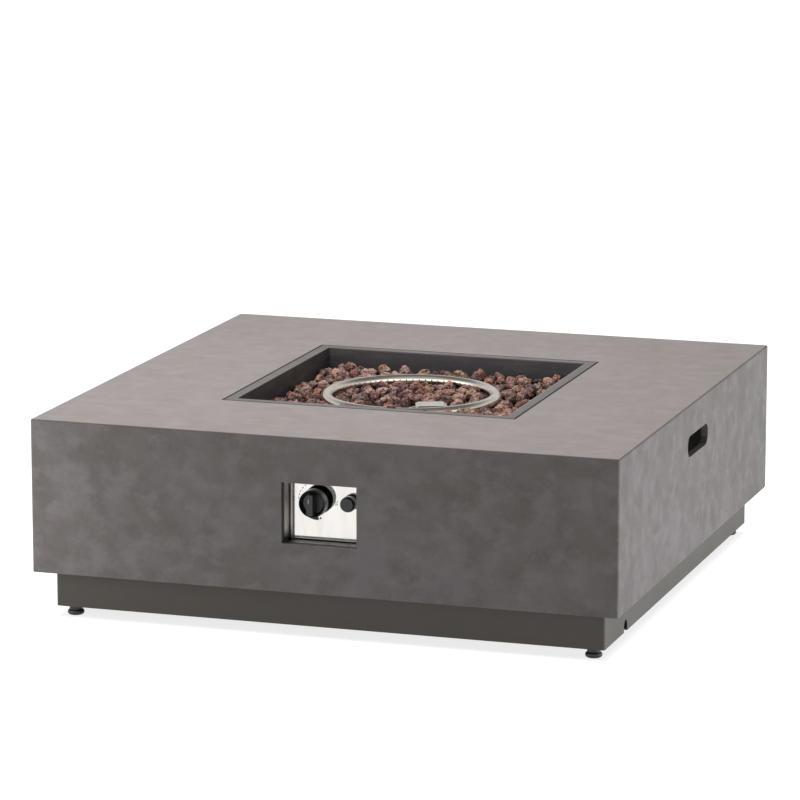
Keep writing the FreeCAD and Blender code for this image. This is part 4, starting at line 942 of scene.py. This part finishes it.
def flat_shapes(name, outlines, y, thickness, body, material):
    """Thin raised shapes on an upright plane, each outline a list of (x, z)."""
    bm = bmesh.new()
    for outline in outlines:
        front = [bm.verts.new((x, y - thickness, z)) for x, z in outline]
        back = [bm.verts.new((x, y, z)) for x, z in outline]
        bm.faces.new(front)
        bm.faces.new(back[::-1])
        for i in range(len(outline)):
            j = (i + 1) % len(outline)
            bm.faces.new((front[j], front[i], back[i], back[j]))
    bmesh.ops.recalc_face_normals(bm, faces=bm.faces)
    mesh = bpy.data.meshes.new(name)
    bm.to_mesh(mesh)
    bm.free()
    piece(name, mesh, body, material)
    print(name, "has", len(outlines), "shapes")


def on_circle(centre, radius, angle):
    return (centre.x + radius * math.cos(angle), centre.z + radius * math.sin(angle))


def dash(centre, radius, start_angle, sweep, width):
    """A short arc of a ring, as an outline; angles in degrees, 0 to the right, 90 up."""
    angles = [math.radians(start_angle + sweep * i / 4) for i in range(5)]
    outer = [on_circle(centre, radius + width / 2, a) for a in angles]
    inner = [on_circle(centre, radius - width / 2, a) for a in angles]
    return outer + inner[::-1]


def upright_bar(x, z, width, height):
    return [(x - width / 2, z - height / 2), (x + width / 2, z - height / 2),
            (x + width / 2, z + height / 2), (x - width / 2, z + height / 2)]


ink = plastic("printed_ink", rgb(0.02, 0.02, 0.022), 0.5, 0.00001)
paint = plastic("white_paint", rgb(0.72, 0.72, 0.74), 0.4, 0.00001)
print("ink and paint:", ink.name, paint.name)

# %% [markdown]
# ## Knob mark and plate scale
#
# The scale is the usual one of a gas valve: seven dashes for the way from off to high, two ticks at
# the high end, a tail that tapers towards low, a wedge for the low flame, and a small spark sign at
# the place where the gas is lit. The plate of the real table also has blocks of text, which are left
# bare here. The mark rides on the knob and turns with it, and the scale rides on the table.

# %% Print the marks
PLATE_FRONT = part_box("control_plate")[0][Y]
KNOB = Vector((middle("knob", X), PLATE_FRONT, middle("knob", Z)))
KNOB_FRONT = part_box("knob")[0][Y]
DASH_ANGLES = (104, 115, 126, 138, 150, 161, 172)
TAIL_STEPS = 8

mark = upright_bar(KNOB.x - 0.0016, KNOB.z + 0.007, 0.0011, 0.0068)
flat_shapes("knob_mark", [mark], KNOB_FRONT, PAINT_THICKNESS, "knob", paint)

scale_marks = [dash(KNOB, 0.0321, angle, 5.5, 0.0013) for angle in DASH_ANGLES]
scale_marks += [upright_bar(KNOB.x - 0.0407, KNOB.z + dz, 0.0036, 0.0014) for dz in (0.0039, -0.0002)]

tail = [math.radians(-122 + 4.6 * i) for i in range(TAIL_STEPS + 1)]
outer_side = [on_circle(KNOB, 0.0324, a) for a in tail]
inner_side = [on_circle(KNOB, 0.0317 - 0.0009 * i, a) for i, a in enumerate(tail)]
for i in range(TAIL_STEPS):
    scale_marks.append([outer_side[i], outer_side[i + 1], inner_side[i + 1], inner_side[i]])

wedge = Vector((KNOB.x + 0.0054, 0, KNOB.z - 0.0289))
scale_marks.append([
    (wedge.x - 0.0026, wedge.z - 0.0014), (wedge.x + 0.0026, wedge.z - 0.0014),
    (wedge.x + 0.0012, wedge.z + 0.0026),
])

spark = Vector((KNOB.x + 0.0335, 0, KNOB.z + 0.0012))
scale_marks += [dash(spark, 0.0022, 150 + turn, 26, 0.0008) for turn in range(0, 260, 34)]
scale_marks += [upright_bar(spark.x + dx, spark.z - 0.0052, 0.0007, 0.0035) for dx in (-0.0018, 0.0, 0.0018)]
flat_shapes("plate_scale", scale_marks, PLATE_FRONT, INK_THICKNESS, "table", ink)

# %% [markdown]
# ## Igniter cap
#
# The cap of the button has ribs round its side, so that wet fingers can unscrew it, a domed face, and
# a small dimple where a finger lands. The CAD solid is a plain cap of the same size, and this one
# takes its place. It is turned like a pot on a wheel: a profile of radius and depth goes round the
# axis, and on the steps that carry ribs the radius also follows a wave. A modifier could spin the
# profile, but it couldn't add the wave.

# %% Build the igniter cap
IGNITER = Vector((middle("igniter_button", X), PLATE_FRONT, middle("igniter_button", Z)))
AROUND = 288
RIBS = 24
RIB_DEPTH = 0.0007
SKIRT_BACK = PLATE_FRONT - 0.0035
HOLLOW_BACK = PLATE_FRONT - 0.0085
STEM_RADIUS = 0.0082


def ring_points(radius, y, ribbed):
    """One ring of the cap, round the igniter's axis."""
    points = []
    for i in range(AROUND):
        angle = 2 * math.pi * i / AROUND
        wave = (0.5 + 0.5 * math.cos(RIBS * angle)) ** 0.6
        r = radius - RIB_DEPTH + RIB_DEPTH * wave if ribbed else radius
        points.append((IGNITER.x + r * math.cos(angle), y, IGNITER.z + r * math.sin(angle)))
    return points


def ribbed_cap():
    low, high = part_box("igniter_button")
    front, back = low[Y], high[Y]
    rim = (high[X] - low[X]) / 2
    axis = 1e-5
    face = [(axis, front + 0.0007), (0.003, front + 0.0006), (0.0065, front + 0.0002), (0.0085, front),
            (0.0103, front + 0.0003), (0.0114, front + 0.0012)]
    side = [(0.0122, front + 0.0026), (rim, front + 0.0062), (rim, front + 0.011),
            (rim - 0.0002, SKIRT_BACK)]
    inner = [(rim - 0.0012, SKIRT_BACK), (0.012, HOLLOW_BACK), (STEM_RADIUS, HOLLOW_BACK),
             (STEM_RADIUS, back), (axis, back)]
    rings = [ring_points(*step, step in side) for step in face + side + inner]
    faces = []
    for ring in range(len(rings) - 1):
        first, second = ring * AROUND, (ring + 1) * AROUND
        for i in range(AROUND):
            j = (i + 1) % AROUND
            faces.append((first + i, first + j, second + j, second + i))
    glossy = plastic("glossy_black", rgb(0.006, 0.006, 0.007), 0.2, 0.00001)
    mesh = mesh_of("igniter_cap", np.vstack(rings), np.array(faces))
    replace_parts(piece("igniter_cap", mesh, "igniter_button", glossy), "igniter_button")
    print("igniter_cap has", RIBS, "ribs and", len(faces), "faces")


ribbed_cap()

# %% [markdown]
# ## Floor
#
# The photograph has a white ground with a faint shadow under the table. A white floor would throw
# much light up at the object, and its own shading would never be a clean white. So the floor has two
# materials in one, and the Light Path node picks: the camera and reflections see a glow with a
# little diffuse shading, which clips to white outside the shadow, while all other light meets a
# The glow is weaker under the plinth, as a painted shadow there.

# %% Floor
PLINTH_OUTLINE = (0.468, 0.486)


def floor():
    bm = bmesh.new()
    bmesh.ops.create_grid(bm, x_segments=1, y_segments=1, size=30)
    mesh = bpy.data.meshes.new("floor")
    bm.to_mesh(mesh)
    bm.free()
    ground = bpy.data.objects.new("floor", mesh)
    bpy.context.scene.collection.objects.link(ground)
    material, tree, shader, place = start("pale_floor")
    connect(tree, shader, {
        "Base Color": rgb(0.36, 0.36, 0.36), "Roughness": 0.9, "Specular IOR Level": 0.0,
    })
    # Painted shadow: the glow is weaker under the plinth.
    strength = between(tree, square_distance(tree, place), *PLINTH_OUTLINE, 0.8, 1.0)
    glow = add(tree, "ShaderNodeEmission", {"Color": rgb(1, 1, 1), "Strength": strength})
    shaded = add(tree, "ShaderNodeBsdfDiffuse", {"Color": rgb(0.3, 0.3, 0.3)})
    seen = add(tree, "ShaderNodeAddShader", {0: glow.outputs["Emission"], 1: shaded.outputs["BSDF"]})
    path = add(tree, "ShaderNodeLightPath")
    direct = maths(tree, "MAXIMUM", path.outputs["Is Camera Ray"], path.outputs["Is Glossy Ray"])
    chosen = add(tree, "ShaderNodeMixShader", {
        0: direct, 1: shader.outputs["BSDF"], 2: seen.outputs["Shader"],
    })
    connect(tree, tree.nodes["Material Output"], {"Surface": chosen.outputs["Shader"]})
    mesh.materials.append(material)
    print("floor of", tuple(ground.dimensions)[:2], "metres")


floor()

# %% [markdown]
# ## Light of the room
#
# A product studio has white walls, which light the object from all round and show in its metal. The
# world plays these walls. Diffuse light gets one even, low strength. Reflections get a room: bright
# in front of the table, dimmer behind it, and darker overhead, which is what makes the plate white
# and the tubes shaped. The camera itself sees plain white. An image of a real room would do the
# same with more detail, but this needs no file.

# %% World
EVEN_LIGHT = 0.185
FRONT_WALL = (-0.45, 0.1, 1.9, 0.68)
CEILING = (0.45, 0.7, 1.0, 0.25)


def studio_world():
    world = bpy.data.worlds.new("studio")
    bpy.context.scene.world = world
    world.use_nodes = True
    tree = world.node_tree
    path = add(tree, "ShaderNodeLightPath")
    way = add(tree, "ShaderNodeTexCoord").outputs["Generated"]
    front_wall = between(tree, along(tree, way, "Y"), *FRONT_WALL)
    walls = times(tree, front_wall, between(tree, along(tree, way, "Z"), *CEILING))
    more_in_mirrors = times(tree, path.outputs["Is Glossy Ray"], maths(tree, "SUBTRACT", walls, EVEN_LIGHT))
    light = tree.nodes["Background"]
    connect(tree, light, {
        "Color": rgb(1.0, 0.995, 0.99), "Strength": maths(tree, "ADD", EVEN_LIGHT, more_in_mirrors),
    })
    white = add(tree, "ShaderNodeBackground", {"Color": rgb(1, 1, 1), "Strength": 1.0})
    chosen = add(tree, "ShaderNodeMixShader", {
        0: path.outputs["Is Camera Ray"], 1: light.outputs["Background"], 2: white.outputs["Background"],
    })
    connect(tree, tree.nodes["World Output"], {"Surface": chosen.outputs["Shader"]})
    print("world", world.name, "with an even strength of", EVEN_LIGHT)


studio_world()

# %% [markdown]
# ## Lamps
#
# Three soft boxes make the shading of the photograph. A wide one overhead, a little to the left,
# makes the top the palest face. A low, wide one at the right lights the side but not the inside of
# the pan, because it lies below the top's edge. A small one near the left end of the front lights
# just that end: it is close and weak, so its light falls off within half a metre. Point lamps would
# be simpler, but their shadows are hard.

# %% Lamps
def softbox(name, place, target, size, power, colour=(1.0, 1.0, 1.0), shines=True):
    light = bpy.data.lights.new(name, "AREA")
    light.shape = "RECTANGLE"
    light.size, light.size_y = size
    light.energy = power
    light.color = colour
    thing = bpy.data.objects.new(name, light)
    bpy.context.scene.collection.objects.link(thing)
    thing.location = place
    thing.rotation_euler = (Vector(target) - Vector(place)).to_track_quat("-Z", "Y").to_euler()
    thing.visible_camera = False
    thing.visible_glossy = shines
    print(name, "gives", power, "watts from", place)


softbox("overhead", (-0.6, -0.35, 3.0), (-0.1, 0.0, 0.3), (2.2, 2.2), 95.0, (1.0, 0.975, 0.96), False)
softbox("right_side", (2.9, 0.3, 0.2), (0.5, 0.0, 0.2), (2.2, 0.3), 37.5, (0.98, 1.0, 1.02))
softbox("front_left", (-0.72, -0.78, 0.24), (-0.4, -0.5, 0.2), (0.34, 0.3), 0.7)

# %% [markdown]
# ## Camera
#
# The photograph was taken from the front right and a little above, with a long lens from far away.
# Place, direction and lens could be tried by eye, but small errors in them add up. They come from a
# fit to the edges of shell and plinth instead, which also told how high the table is for its width.
# A focal length in pixels becomes one in millimetres by the ratio of sensor to picture width.

# %% Camera
PLACE = (2.300318, -7.116177, 1.846172)
AZIMUTH = math.radians(18.1049)
LOOK_DOWN = math.radians(11.6203)
FOCAL_PIXELS = 4393.055
PICTURE_PIXELS = 800.0
SENSOR = 36.0

right = Vector((math.cos(AZIMUTH), math.sin(AZIMUTH), 0.0))
backward = Vector((math.sin(AZIMUTH) * math.cos(LOOK_DOWN), -math.cos(AZIMUTH) * math.cos(LOOK_DOWN),
                   math.sin(LOOK_DOWN)))
upward = backward.cross(right)
camera_data = bpy.data.cameras.new("camera")
camera_data.sensor_width = SENSOR
camera_data.lens = FOCAL_PIXELS * SENSOR / PICTURE_PIXELS
camera_data.clip_start = 0.1
camera_data.clip_end = 60.0
camera = bpy.data.objects.new("camera", camera_data)
bpy.context.scene.collection.objects.link(camera)
turn = Matrix((right, upward, backward)).transposed().to_4x4()
camera.matrix_world = Matrix.Translation(PLACE) @ turn
bpy.context.scene.camera = camera
bpy.context.scene.view_settings.view_transform = "Standard"
print("camera with a lens of", round(camera_data.lens, 1), "mm")
